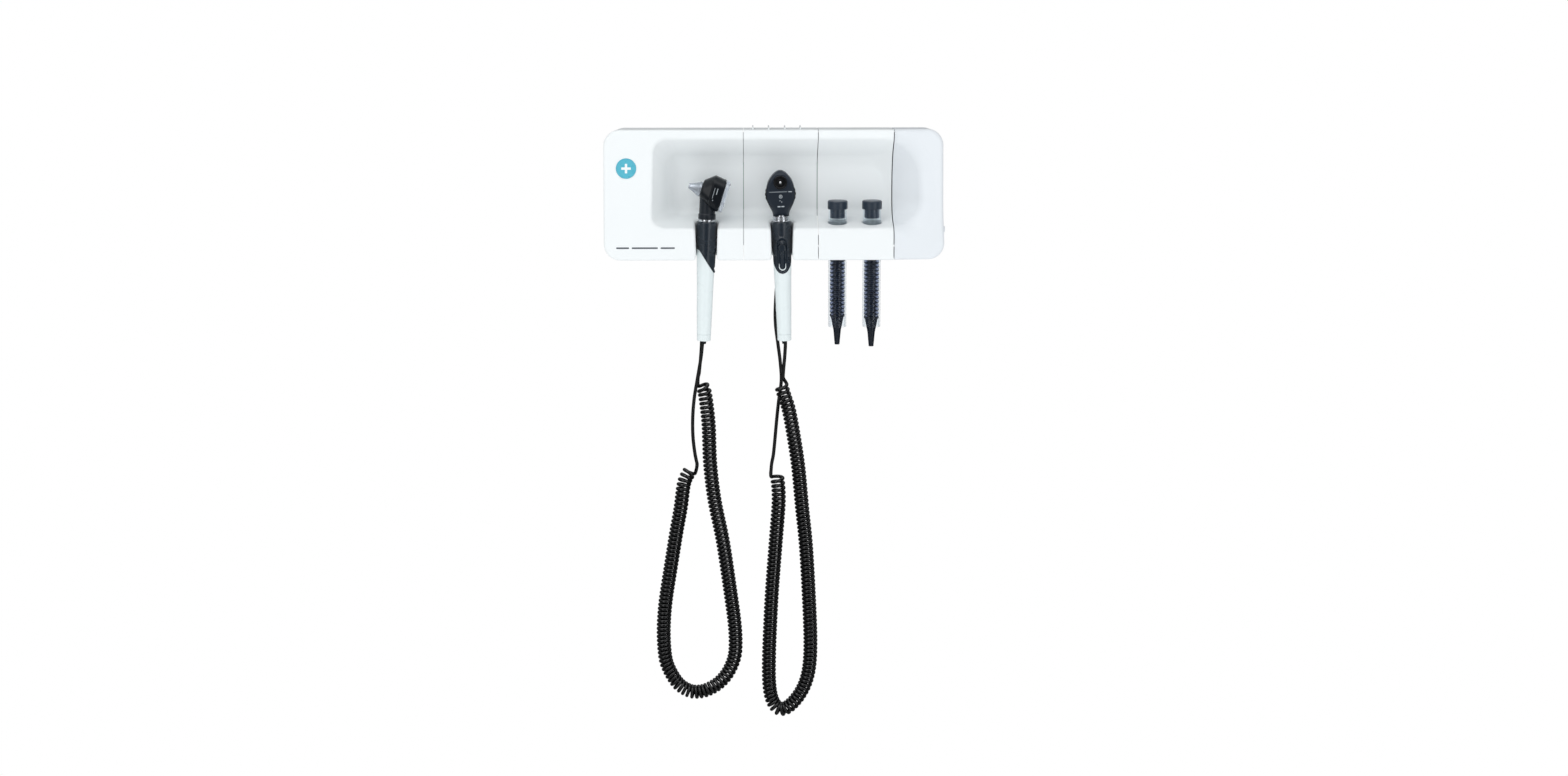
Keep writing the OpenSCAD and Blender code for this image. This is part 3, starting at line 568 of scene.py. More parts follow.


# Raised edges in these materials get a lighter colour: partly worn edges, partly a painted
# highlight.
WHITE = material(
    "cover_white", (0.885, 0.915, 0.92), rough=0.36, bump=0.035, bump_scale=2600, var=0.012,
    var_scale=14, coat=0.05, spec=0.35, edge_wear_and_highlight=0.12, edge_wear_and_highlight_color=(0.95, 0.96, 0.96))
# Darker copy of the cover white for the end cover: painted shade, as its front turns away from the
# light.
SHADED_END_WHITE = material(
    "end_cover_painted_shade_white", (0.80, 0.835, 0.865), rough=0.38, bump=0.035, bump_scale=2600, var=0.012,
    var_scale=14, coat=0.05, spec=0.35, edge_wear_and_highlight=0.12, edge_wear_and_highlight_color=(0.90, 0.92, 0.93))
SLEEVE = material(
    "sleeve_white", (0.79, 0.86, 0.865), rough=0.3, bump=0.03, bump_scale=2400, var=0.015,
    var_scale=30, coat=0.12, spec=0.4)
GRIP = material(
    "grip_dark", srgb(22, 34, 45), rough=0.27, bump=0.01, bump_scale=3400, var=0.05,
    rough_var=0.02, spec=0.65, edge_wear_and_highlight=0.15, edge_wear_and_highlight_color=srgb(66, 78, 88))
HEAD = material(
    "head_black", srgb(7, 13, 20), rough=0.3, bump=0.01, bump_scale=3600, var=0.08,
    var_scale=90, rough_var=0.02, spec=0.34, edge_wear_and_highlight=0.12, edge_wear_and_highlight_color=srgb(58, 66, 74))
NECK = material(
    "neck_black", srgb(20, 27, 35), rough=0.38, bump=0.015, bump_scale=3400, var=0.08,
    var_scale=90, rough_var=0.03, spec=0.35, edge_wear_and_highlight=0.15, edge_wear_and_highlight_color=srgb(74, 82, 90))
SLATE = material(
    "head_slate", srgb(27, 36, 47), rough=0.38, bump=0.03, bump_scale=3600, var=0.1,
    var_scale=90, rough_var=0.03, spec=0.35, edge_wear_and_highlight=0.25, edge_wear_and_highlight_color=srgb(74, 84, 94))
WHEEL = material(
    "wheel_black", srgb(14, 17, 21), rough=0.36, bump=0.1, bump_scale=3000, var=0.2,
    var_scale=160, spec=0.3, edge_wear_and_highlight=0.6, edge_wear_and_highlight_color=srgb(86, 92, 100))
CORD = material(
    "cord_black", srgb(2, 3, 4), rough=0.2, bump=0.01, bump_scale=1800, var=0.25,
    var_scale=90, rough_var=0.04)
RUBBER = material(
    "rubber_black", srgb(22, 25, 29), rough=0.62, bump=0.25, bump_scale=2600, var=0.2,
    var_scale=100, spec=0.25)
CAP = material(
    "cap_dark", srgb(38, 50, 63), rough=0.34, bump=0.02, bump_scale=3000, var=0.16,
    var_scale=120, edge_wear_and_highlight=0.5, edge_wear_and_highlight_color=srgb(84, 98, 110))
SPECULUM_BLACK = material(
    "speculum_black", srgb(10, 20, 32), rough=0.26, bump=0.02, bump_scale=3000, var=0.15,
    var_scale=150, spec=0.45)
SPECULUM_GREY = material(
    "speculum_grey", srgb(172, 178, 186), rough=0.22, metallic=0.55, bump=0.04,
    bump_scale=2500, var=0.06, var_scale=120)
CHROME = material(
    "chrome", (0.62, 0.64, 0.67), rough=0.14, metallic=1.0, bump=0.02, bump_scale=900,
    var=0.06, var_scale=200, rough_var=0.05, stretch=(1, 1, 12))
STEEL = material(
    "steel_plate", (0.55, 0.56, 0.58), rough=0.36, metallic=1.0, bump=0.08, bump_scale=500,
    var=0.1, var_scale=80, rough_var=0.1, stretch=(0.05, 1, 1))
ZINC = material(
    "screw_zinc", (0.62, 0.62, 0.6), rough=0.3, metallic=1.0, bump=0.1, bump_scale=1400,
    var=0.12, var_scale=400)
BRASS = material(
    "brass", (0.72, 0.55, 0.24), rough=0.24, metallic=1.0, bump_scale=900, var=0.1,
    var_scale=300)
BLACK = material(
    "inlet_black", srgb(24, 25, 27), rough=0.5, bump=0.2, bump_scale=2200, var=0.15,
    var_scale=100, edge_wear_and_highlight=0.4, edge_wear_and_highlight_color=srgb(70, 72, 76))
IRON = material(
    "core_iron", (0.16, 0.15, 0.14), rough=0.55, metallic=0.6, bump=0.5, bump_scale=260,
    var=0.3, var_scale=50, stretch=(0.02, 1, 1))
TEAL = material(
    "badge_teal", srgb(88, 186, 208), rough=0.3, bump=0.02, bump_scale=2200, var=0.05,
    var_scale=200, coat=0.4)
PRINT = material(
    "print_grey", srgb(92, 98, 106), rough=0.5, bump=0.03, bump_scale=2500, var=0.1,
    var_scale=500)
LIGHT_PRINT = material(
    "print_light", srgb(176, 184, 190), rough=0.5, bump=0.03, bump_scale=2500, var=0.1,
    var_scale=500)
BUTTON = material(
    "button_grey", srgb(224, 228, 232), bump=0.08, bump_scale=2500, var_scale=100)
MIRROR = material(
    "mirror_face", (0.9, 0.92, 0.94), rough=0.05, metallic=1.0, bump=0.01, bump_scale=700,
    var=0.02, var_scale=120)
LAMP = material(
    "lamp_glass", (0.9, 0.84, 0.66), rough=0.12, bump=0.03, bump_scale=1200, var=0.08,
    var_scale=300, coat=0.6)
SENSOR = material(
    "sensor_window", srgb(58, 14, 22), rough=0.15, bump=0.03, bump_scale=1200, var=0.2,
    var_scale=300, coat=0.6)
CONE = material(
    "cone_grey", srgb(70, 76, 83), rough=0.3, bump=0.06, bump_scale=2600, var=0.1,
    var_scale=160, spec=0.3)
BEZEL = material(
    "bezel_black", srgb(5, 6, 8), rough=0.26, bump=0.04, bump_scale=2600, var=0.2,
    var_scale=160, spec=0.3)
TUBE = material(
    "tube_clear", (0.62, 0.66, 0.86), rough=0.06, bump=0.01, bump_scale=120, var_scale=20,
    rough_var=0.02, cover=(0.0, 0.3), blend=0.08, spec=0.4, gloss=(0.012, 0.28))
CLEAR_FRAME = material(
    "frame_clear", (0.74, 0.79, 0.87), rough=0.1, bump=0.02, bump_scale=300, var=0.04,
    var_scale=80, rough_var=0.04, cover=(0.34, 0.9), blend=0.4, coat=0.3, gloss=(0.04, 0.5))
GLASS = material(
    "lens_glass", (0.86, 0.91, 0.95), rough=0.03, bump=0.005, bump_scale=60, var=0.02,
    var_scale=30, rough_var=0.01, cover=(0.12, 0.8), blend=0.5, coat=0.6)


def stack_material():
    """Nested dark specula, with pale light painted into the colour between the rims at both sides
    of the stack.
    """
    m = material("speculum_stack_black", srgb(8, 20, 36), rough=0.3, bump=0.02,
                 bump_scale=3000, var=0.15, var_scale=150, spec=0.3)
    tree = m.node_tree
    base_input = tree.nodes["Principled BSDF"].inputs["Base Color"]
    pitch = 0.0044
    between_stacks = 0.089     # x in metres; beyond it the rims sit half a pitch higher
    rim_offset = 1.0 + 0.1342 - 0.0002
    position = node(tree, "SeparateXYZ", {0: tree.nodes["Texture Coordinate"].outputs["Object"]})
    right = calc(tree, "GREATER_THAN", position.outputs["X"], between_stacks)
    shift = calc(tree, "MULTIPLY", right, pitch / 2)
    height = calc(tree, "ADD", calc(tree, "ADD", position.outputs["Z"], rim_offset), shift)
    phase = calc(tree, "FRACT", calc(tree, "DIVIDE", height, pitch))
    gap = calc(tree, "LESS_THAN", phase, 0.47)
    facing = node(tree, "LayerWeight", {"Blend": 0.5}).outputs["Facing"]
    edge = node(tree, "MapRange", {"Value": facing, "From Min": 0.22, "From Max": 0.42},
                interpolation_type="SMOOTHSTEP").outputs[0]
    dark = base_input.links[0].from_socket
    # painted light: pale colour in the gaps between the rims near the sides of the stack
    painted_gap_light = (*srgb(168, 176, 206), 1)
    tree.links.new(mix_color(tree, calc(tree, "MULTIPLY", gap, edge), dark, painted_gap_light), base_input)
    return m


def board_material():
    """Green board with a brick pattern in place of the noise colour."""
    m = material("circuit_board", (0.02, 0.16, 0.07), rough=0.35, bump=0.1, bump_scale=1600,
                 var=0.2, var_scale=200, coat=0.3)
    tree = m.node_tree
    base_input = tree.nodes["Principled BSDF"].inputs["Base Color"]
    tree.nodes.remove(base_input.links[0].from_node)
    vector = node(tree, "Mapping", {
        0: tree.nodes["Texture Coordinate"].outputs["Object"],
        "Rotation": (math.radians(90), 0, 0)}).outputs[0]
    bricks = node(tree, "TexBrick", {
        "Vector": vector, "Scale": 260, "Mortar Size": 0.06, "Mortar": (0.05, 0.30, 0.14, 1),
        "Color1": (0.015, 0.13, 0.06, 1), "Color2": (0.02, 0.19, 0.085, 1)})
    tree.links.new(bricks.outputs["Color"], base_input)
    return m


STACK = stack_material()
BOARD = board_material()

# ---------------------------------------------------------------- wall unit covers

FORK_Z = -15            # top of the fork slots
TUBE_Z = -20            # top of the tube bores
WALL = 2.5              # cover thickness


def pan_void(x, y, z):
    """Hollow in the front of the cover, bounded by sloping planes."""
    ceiling = 0.5035 * (y + 62.9) + 0.864 * (z - 61)
    left = -0.934 * (x + 133) + 0.358 * (y + 67)
    shelf = 0.189 * (y + 72) - 0.982 * (z + 36.5)
    right = 0.781 * (x - 137) + 0.625 * (y + 20)
    void = round_max(ceiling, left, 13)
    void = round_max(void, shelf, 14)
    void = round_max(void, right, 26)
    return round_max(void, y + 20, 9 + 16 * ease((x - 108) / 44))


def cover_body(x, y, z, end):
    """Solid body of the whole cover; end gives the fuller form of the last module."""
    front = front_y(z) - y
    half_width = HALF_WIDTH
    if end:
        swell = (x - SEAMS[2]) / (HALF_WIDTH - SEAMS[2]) * 12 * (1 - 0.7 * ease((-z - 10) / 55))
        front = (front + 4 - 2.5 * ease((-z - 20) / 35) + swell) * 0.974
        half_width = HALF_WIDTH + 1.0 * ease((x - 120) / 40)
    else:
        front = front * 0.9965
    # the sides draw in by up to 3 mm from y = -68 to the wall
    inset = 3 * np.clip(1 + y / 68, 0, 1)
    side = round_rectangle(x, z, half_width - inset, HALF_HEIGHT - inset, 18.0)
    body = round_max(front, side, 4.6 if end else 3.6)
    edge = 2.8 + 9 * ease((x - 118) / 30) + 1.2 * ease((-22 - z) / 12)
    body = round_max(body, -pan_void(x, y, z), edge)
    if not end:
        slot = 12.45 - 1.25 * np.clip((-31 - z) / 40, 0, 1)
        for fork in FORKS:
            round_back = np.hypot(x - fork, y - HANG_Y)
            d = np.where(y > HANG_Y, round_back, np.abs(x - fork) + 0 * y) - slot
            body = round_max(body, -np.maximum(d, z - FORK_Z), 3.6)
        for tube in TUBES:
            d = np.hypot(x - tube, y - HANG_Y) - 10.35
            body = round_max(body, -np.maximum(d, z - TUBE_Z), 1.1)
    return body


def outer_main(x, y, z):
    return np.maximum(cover_body(x, y, z, False), np.maximum(y - 2, x - 132))


def inner_main(x, y, z):
    body = cover_body(x, y, z, False) + WALL
    body = np.maximum(body, np.where(z < -31, x - 128.3, -50.0))
    return np.maximum(body, np.maximum(y - 3, x - 132.6))


def outer_end(x, y, z):
    return np.maximum(cover_body(x, y, z, True), np.maximum(y - 2, 128.6 - x))


def inner_end(x, y, z):
    return np.maximum(cover_body(x, y, z, True) + WALL, np.maximum(y - 3, 128.2 - x))


def cover_blank(name, outer, inner, low, high):
    step = 1.0
    blank = make(name, *surface_net(outer, low, high, step), None)
    return boolean(blank, [make("inner", *surface_net(inner, low, high, step * 1.25), None)])


main_blank = cover_blank("blank_main", outer_main, inner_main,
                         (-188.2, -77.2, -73.2), (134.3, 5.3, 73.3))
end_blank = cover_blank("blank_end", outer_end, inner_end,
                        (126.3, -77.2, -73.2), (188.8, 5.3, 73.3))


def module(name, blank, x0, x1, finish=WHITE):
    """Slice of a cover blank between x0 and x1."""
    ob = copy_piece(blank, name)
    ob.data.materials.clear()
    ob.data.materials.append(finish)
    return boolean(ob, [cut_box(x0, x1, -120, 0, -120, 120)], "INTERSECT")


power = module("power_cover_shell", main_blank, -195, SEAMS[0] - 0.25)
middle = module("middle_cover_shell", main_blank, SEAMS[0] + 0.25, SEAMS[1] - 0.34)
dispenser = module("dispenser_cover_shell", main_blank, SEAMS[1] + 0.34, SEAMS[2] - 0.4)
# the end cover takes the darker white, which is painted shade
end_cover = module("end_cover_shell", end_blank, SEAMS[2] + 0.7, 195, SHADED_END_WHITE)
discard(main_blank, end_blank)


def stepped_opening(x0, x1, y0, y1, step_z):
    """Recess in the underside with a smaller opening above it."""
    ledge = 2
    return [cut_box(x0, x1, y0, y1, -80, step_z),
            cut_box(x0 + ledge, x1 - ledge, y0 + ledge, y1 - ledge, -80, -60)]


def cord_and_fork_holes(cord_x, fork_x):
    return [cut_cylinder(4.2, -90, -50, move(cord_x, CORD_HOLE_Y, 0), 40),
            cut_cylinder(2.6, -45, -25, move(fork_x, 0, -50) @ turn_x(-90), 32)]


def screw_holes(x):
    """Countersunk hole in the underside."""
    return [cut_cylinder(3.2, -80, -67.4, move(x, -13, 0), 40),
            cut_cylinder(1.7, -80, -60, move(x, -13, 0), 32)]


BADGE_FRAME = on_front(-161, 29)
boolean(power, stepped_opening(-173.2, -146.8, -47.2, -28.8, -68.8)
        + stepped_opening(-139.7, -116.3, -48.7, -31.3, -68.9)
        + cord_and_fork_holes(CORD_HOLES[0], FORKS[0]) + screw_holes(-100))
boolean(power, [cut_cylinder(11.2, -0.5, 5, BADGE_FRAME, 96)])
boolean(middle, cord_and_fork_holes(CORD_HOLES[1], FORKS[1]) + screw_holes(36))

# ribs on the top: outline x along y, outline y up, thickness along x
RIB_AXES = np.eye(4)[[2, 0, 1, 3]]
boolean(middle, [
    prism("rib", rectangle(-52, -22, -2, 1.35, radius=0.55, steps=4), -0.7, 0.7, None,
          move(x, 0, HALF_HEIGHT) @ RIB_AXES, bevel=0.25)
    for x in (-23, -5.7, 12, 29)], "UNION")
boolean(dispenser, screw_holes(90))
button_hole = prism("cut", upright_stadium(3.2, 4.0), 0, 20, None,
                    move(HALF_WIDTH - 12, -31, -42) @ turn_y(90))
boolean(end_cover, [button_hole] + screw_holes(160))
for ob, replaced in ((power, "power_cover"), (middle, "middle_cover"),
                     (dispenser, "dispenser_cover"), (end_cover, "end_cover")):
    finish_piece(ob, "station", "cover_plastic", replaced)

# three plain bars low on the front
for i, (x0, x1) in enumerate(((-172.5, -158.5), (-155.5, -127), (-124, -108.5))):
    bar = prism(f"print_bar_{i}", rectangle(x0, x1, -0.9, 0.9, radius=0.85, steps=6),
                -0.06, 0.10, PRINT, on_front(0, -57.2))
    finish_piece(bar, "station", "black_plastic")

# badge: disc with a raised rim and a plus
badge = lathe("badge_disc", [
    (0, -0.45), (11, -0.45), (11, 0.42, 0.25), (10.2, 0.5, 0.1), (9.9, 0.25, 0.1),
    (0, 0.25)], TEAL, BADGE_FRAME, count=128)
plus = prism("badge_plus", rounded([
    (-1.3, -5.2, 0.5), (1.3, -5.2, 0.5), (1.3, -1.3, 0.2), (5.2, -1.3, 0.5),
    (5.2, 1.3, 0.5), (1.3, 1.3, 0.2), (1.3, 5.2, 0.5), (-1.3, 5.2, 0.5),
    (-1.3, 1.3, 0.2), (-5.2, 1.3, 0.5), (-5.2, -1.3, 0.5), (-1.3, -1.3, 0.2),
]), 0.1, 0.42, WHITE, BADGE_FRAME, bevel=0.1)
finish_piece(badge, "station", "badge_teal", "badge")
finish_piece(plus, "station", "cover_plastic")

# ---------------------------------------------------------------- CAD pieces that stay

# node, material, bevel width in mm
KEPT = [
    ("wall_plate", STEEL, 0.3), ("cover_screws", ZINC, 0.15), ("transformer", IRON, 0.4),
    ("control_board", BOARD, 0.15), ("power_inlet", BLACK, 0.4), ("switch_frame", BLACK, 0.4),
    ("switch_rocker", BLACK, 0.5), ("side_button", BUTTON, 0.4), ("fork_liners", RUBBER, 0.3),
    ("fork_sensors", SENSOR, 0.25), ("cord_grommets", RUBBER, 0.25),
    ("speculum_tubes", TUBE, 0), ("specula_stacks", STACK, 0),
    ("left_next_speculum", SPECULUM_BLACK, 0), ("right_next_speculum", SPECULUM_BLACK, 0),
    ("ophthalmoscope_lens_wheel", WHEEL, 0.25), ("ophthalmoscope_aperture_wheel", WHEEL, 0.2),
    ("ophthalmoscope_wheel_axle", CHROME, 0.2), ("ophthalmoscope_mirror", MIRROR, 0.05),
    ("ophthalmoscope_brow_pad", RUBBER, 0.2), ("otoscope_light_cone", CONE, 0),
    ("otoscope_lens_pin", CHROME, 0.15),
]
KEPT += [(f"{tool}_{part}", finish, bevel) for tool in ("otoscope", "ophthalmoscope")
         for part, finish, bevel in (
             ("connector_ring", CHROME, 0.12), ("contact_pin", BRASS, 0.1),
             ("contact_spring", BRASS, 0), ("dimmer_board", BOARD, 0.1),
             ("lamp", LAMP, 0), ("cord_relief", RUBBER, 0.2))]


def dress(name, finish, bevel):
    """Material, smooth shading split by angle, and a small rounded edge."""
    ob = NODES[name]
    one_material(ob.data, finish)
    ob.data.shade_smooth()
    weld = ob.modifiers.new("weld", "WELD")
    weld.merge_threshold = 2e-6
    if bevel > 0:
        edge = ob.modifiers.new("bevel", "BEVEL")
        edge.width = bevel * MM
        edge.segments = 2
        edge.limit_method = "ANGLE"
        edge.angle_limit = math.radians(40)
        edge.use_clamp_overlap = True
        edge.harden_normals = False
        edge.miter_outer = "MITER_ARC"
    split = ob.modifiers.new("split", "EDGE_SPLIT")
    split.split_angle = math.radians(35)
    split.use_edge_sharp = False


for name, finish, bevel in KEPT:
    dress(name, finish, bevel)

# ---------------------------------------------------------------- tube caps

# (r, z, corner radius): dished top, skirt, then the plug
CAP_PROFILE = [
    (0, 9.15), (8.6, 9.15, 0.6), (9.4, 9.3, 0.5), (10.3, 9.3, 0.9), (11, 8.1, 0.9),
    (11, 0.5, 0.4), (10.6, 0, 0.3), (8.4, 0, 0.3), (8.4, -9.2, 0.5), (7.8, -10, 0.4), (0, -10)]


def cap_flute(r, z, a):
    """Depth of the flutes round the skirt, fading towards its top and bottom."""
    fade = ease((z - 0.6) / 1.2) * ease((8.2 - z) / 1.2) if r > 10 else 0
    return 0.38 * fade * max(0.0, math.cos(24 * a)) ** 2


for side, x in zip(("left", "right"), TUBES):
    points, rings = spin(rounded(CAP_PROFILE, closed=False, steps=4), 240, cap_flute)
    cap = make(f"{side}_tube_cap_body", points, ring_faces(zip(rings, rings[1:]), flip=True),
               CAP, move(x, HANG_Y, -17.4), smooth=35)
    finish_piece(cap, f"{side}_cap", "cap_plastic", f"{side}_tube_cap")

# ---------------------------------------------------------------- handles

# (z, radius) down the handle, then averaged over 12 mm
HANDLE_RADII = ((-134, 7.7), (-125, 7.8), (-100, 8.4), (-70, 9.1), (-45, 9.9), (-32, 10.4),
                (-20, 10.85), (0, 11.55), (10, 11.55))
HANDLE_Z = np.linspace(-140, 10, 301)
SMOOTH_RADII = np.convolve(np.pad(look_up(HANDLE_RADII, HANDLE_Z), 12, mode="edge"),
                           np.ones(25) / 25, "valid")
PAD_RADIUS, PAD_LENGTH, PAD_Z = 7.0, 26.0, -36.3
BUTTON_FRAME = move(0, 0, -28) @ turn_y(90)     # local z points out of the handle's +x side
BORE = 6.0
SLEEVE_LOW, SLEEVE_TOP = -125.4, -4
TUBE_RADIUS = 8.6
JOINT_SLOPE = math.radians(57)
JOINT_X = 9.9                                   # x at which the slant reaches its lowest z
JOINT_LOW, JOINT_HIGH = -57.4, -30.6


def handle_radius(z):
    return np.interp(z, HANDLE_Z, SMOOTH_RADII)


def grip_field(x, y, z):
    """Grip with a raised, dished thumb pad on its +x side."""
    d = np.hypot(x, y) - handle_radius(z)
    pad = np.hypot(y, np.maximum(np.abs(z - PAD_Z) - PAD_LENGTH / 2, 0)) - PAD_RADIUS
    pad = pad + np.where(x > 0, 0.0, 30.0)
    lift = (1.0 * ease((1.2 - pad) / 2.2) - 2.2 * ease((-pad - 0.9) / 2.4)
            + 1.7 * ease((-pad - 3.4) / 3.2))
    return np.maximum(round_max((d - lift) * 0.97, z + 0.05, 1.0), -64.5 - z)


def joint_prism(gap, far_z):
    """Solid from the grip joint to far_z: level on the -x side, then slanting down."""
    slope = math.tan(JOINT_SLOPE)
    low, high = JOINT_LOW + gap / math.cos(JOINT_SLOPE), JOINT_HIGH + gap
    bend = JOINT_X - (high - low) / slope
    return prism("joint", rounded([
        (-60, high), (bend, high, 5.0), (40, low + slope * (JOINT_X - 40)),
        (40, far_z), (-60, far_z)], steps=10), -60, 60, None, turn_x(90))


grip = make("grip_blank", *surface_net(grip_field, (-13.1, -13.1, -66.1), (13.9, 13.1, 1.4),
                                       0.45), GRIP)
boolean(grip, [joint_prism(0.12, 60)], "INTERSECT")
boolean(grip, [cut_cylinder(8.7, -80, 10, count=64), cut_cylinder(4.15, 0, 20, BUTTON_FRAME)])

sleeve_wall = [(float(handle_radius(z)), z, 0 if i else 0.35)
               for i, z in enumerate(np.linspace(SLEEVE_LOW, SLEEVE_TOP, 60))]
sleeve = lathe("sleeve_blank", [(BORE, SLEEVE_LOW)] + sleeve_wall + [(BORE, SLEEVE_TOP)],
               SLEEVE, count=128)
boolean(sleeve, [joint_prism(-0.12, -260)], "INTERSECT")
inner_tube = lathe("tube", [
    (BORE, -125.3), (TUBE_RADIUS - 1.0, -125.3), (TUBE_RADIUS - 1.0, -100.1),
    (TUBE_RADIUS, -100), (TUBE_RADIUS, -2, 0.3), (BORE, -2, 0.3)], SLEEVE)
boolean(sleeve, [inner_tube], "UNION")
boolean(sleeve, [cut_cylinder(BORE, -140, 20, count=64), cut_cylinder(4.75, 0, 20, BUTTON_FRAME)])

end_cap = lathe("endcap_blank", [
    (5.94, -118), (5.94, -125.5), (7.72, -125.5, 0.3), (7.66, -132.0, 0.2),
    (7.0, -132.8, 0.8), (2.95, -132.8, 0.4), (2.95, -118)], SLEEVE, count=128)
button = lathe("button_blank", [
    (0, 11.85), (2.6, 11.8, 0.6), (3.6, 11.6, 0.5), (4.0, 11.2, 0.4), (4.0, 7.15),
    (4.55, 7.15, 0.1), (4.55, 5.9, 0.1), (1.2, 5.9), (1.2, 1.7, 0.2), (0, 1.7)],
    GRIP, count=64)
place(button, BUTTON_FRAME @ move(0, 0, -0.25))

for tool, frame in (("otoscope", OTOSCOPE), ("ophthalmoscope", OPHTHALMOSCOPE_GRIP)):
    # source, new name, body, slot, replaced node
    for source, name, body, slot, replaced in (
            (grip, "grip_body", "handle", "grip_plastic", "grip"),
            (sleeve, "sleeve_body", "handle", "handle_plastic", "handle_sleeve"),
            (end_cap, "end_cap_body", "handle", "handle_plastic", "end_cap"),
            (button, "dimmer_button_body", "dimmer", "black_plastic", "dimmer_button")):
        piece = place(copy_piece(source, f"{tool}_{name}"), frame)
        finish_piece(piece, f"{tool}_{body}", slot, f"{tool}_{replaced}")
discard(grip, sleeve, end_cap, button)

# ---------------------------------------------------------------- otoscope head

# outline of the head in the optics frame: (local z, local x) and (local z, half width)
HEAD_TOP = ((-2, 17.3), (0, 17.5), (13.5, 19.1), (23.9, 10.9), (30, 6))
HEAD_BOTTOM = ((-2, -17.5), (0, -17.6), (4.5, -18.6), (10.8, -16.1), (16.6, -12.6),
               (21.3, -10.2), (23.9, -8.5), (30, -5))
HEAD_SIDE = ((-2, 13.5), (0, 13.5), (12.6, 13.4), (14.6, 12.6), (19, 11.2), (23.9, 9.6), (30, 7))
LENS_PIN_X = 14.3

neck = lathe("otoscope_neck_body", [
    (6.05, 2.85), (9.3, 2.85, 0.3), (9.6, 3.2, 0.3), (9.6, 8.0, 0.5), (8.95, 8.9, 0.4),
    (8.75, 9.6, 0.6), (8.6, 29, 0.2), (3.2, 29), (3.2, 7.2), (6.05, 7.2)],
    NECK, OTOSCOPE, count=128)
# the neck ends 1.7 mm inside the underside of the head
under_head = [(x + 1.7, z) for z, x in HEAD_BOTTOM]
boolean(neck, [prism("cut", [(-60, -10)] + under_head + [(-3, 45), (-60, 45)],
                     -40, 40, None, OPTICS @ turn_x(90))], "INTERSECT")
finish_piece(neck, "otoscope_head", "head_plastic", "otoscope_neck")


def head_field(x, y, z):
    top, bottom, side = (look_up(t, z) for t in (HEAD_TOP, HEAD_BOTTOM, HEAD_SIDE))
    half = (top - bottom) / 2
    r = np.minimum(10.5, np.minimum(half, side) - 0.05)
    d = round_rectangle(x - (top + bottom) / 2, y, half, side, r)
    # fuller near the lens
    d = d - 0.25 * (1 - ease((z - 12.6) / 1.2))
    d = round_max(d * 0.92, z - 24.0, 1.4)
    return round_max(d, -z, 0.9)


housing = make("otoscope_housing_body", *surface_net(
    head_field, (-32.3, -15.3, -4.3), (21.3, 15.3, 26.1), 0.4), HEAD)
handle_in_optics = np.linalg.inv(OPTICS) @ OTOSCOPE
boolean(housing, [
    cut_cylinder(9.2, -3, 14, count=64), cut_cylinder(6.45, 10, 32, count=64),
    cut_cylinder(1.25, -3, 6.2, move(LENS_PIN_X, 0, 0), 32),
    cut_cylinder(7.9, -5, 20, handle_in_optics, 64),
    cut_cylinder(2.5, 15, 29, handle_in_optics, 32)])
place(housing, OPTICS)
finish_piece(housing, "otoscope_head", "head_plastic", "otoscope_head_housing")

# light bars on both flat sides: local z, x from, x to, half width
HEAD_BARS = ((6.9, 0.6, 7.6, 0.34), (10.1, -4.6, 7.4, 0.2), (9.0, -7.0, -5.8, 0.34))
for i, (z, x0, x1, half) in enumerate(HEAD_BARS):
    for sign, tag in ((-1, "f"), (1, "b")):
        frame = OPTICS @ move(0, sign * 13.75, 0) @ turn_x(-sign * 90) @ move(0, -sign * z, 0)
        bar = prism(f"otoscope_mark_{tag}{i}", rectangle(x0, x1, -half, half, half * 0.9),
                    -0.06, 0.1, LIGHT_PRINT, frame)
        finish_piece(bar, "otoscope_head", "button_grey")


def lens_frame_field(x, y, z):
    """Rounded plate with a raised rim round the lens."""
    plate = round_max(round_rectangle(x, y, 17.6, 13.5, 11), np.abs(z + 2.35) - 1.95, 0.7)
    rim = round_max(np.abs(np.hypot(x, y) - 11.1) - 0.75, np.abs(z + 2.5) - 2.3, 0.5)
    return round_min(plate, rim, 0.6)


lens_frame = make("otoscope_lens_frame_body", *surface_net(
    lens_frame_field, (-19.3, -15.3, -6.1), (19.3, 15.3, 0.7), 0.4),
    CLEAR_FRAME)
boolean(lens_frame, [cut_cylinder(10.4, -8, 3, count=96),
                     cut_cylinder(1.3, -8, 3, move(LENS_PIN_X, 0, 0), 32)])
place(lens_frame, OPTICS)
finish_piece(lens_frame, "otoscope_lens_window", "clear_plastic", "otoscope_lens_frame")


def lens_profile(sphere=39.0, radius=10.35, steps=14):
    """Biconvex lens: two spherical faces and a ground edge."""
    low_centre, high_centre = 34.5, -39.3
    rows = [(radius * k / steps) for k in range(steps + 1)]
    low = [(r, max(low_centre - math.sqrt(sphere ** 2 - r * r), -4.5)) for r in rows]
    high = [(r, min(high_centre + math.sqrt(sphere ** 2 - r * r), -0.3)) for r in rows]
    return low + high[::-1]


lens = lathe("otoscope_lens_body", lens_profile(), GLASS, OPTICS, smooth=30)
finish_piece(lens, "otoscope_lens_window", "lens_glass", "otoscope_lens")
speculum = lathe("otoscope_ear_speculum_body", [
    (7.4, 24.3), (8.2, 24.3, 0.2), (8.2, 26.9, 0.3), (7.5, 27.4, 0.4), (4.4, 33.6, 0),
    (2.95, 38.0, 0), (2.9, 38.3, 0.12), (2.45, 38.3, 0.12), (2.6, 37.4), (4.05, 33.4),
    (7.0, 27.1), (7.4, 26.9)], SPECULUM_GREY, OPTICS)
finish_piece(speculum, "otoscope_ear_speculum", "speculum_light", "otoscope_speculum")

# ---------------------------------------------------------------- ophthalmoscope head

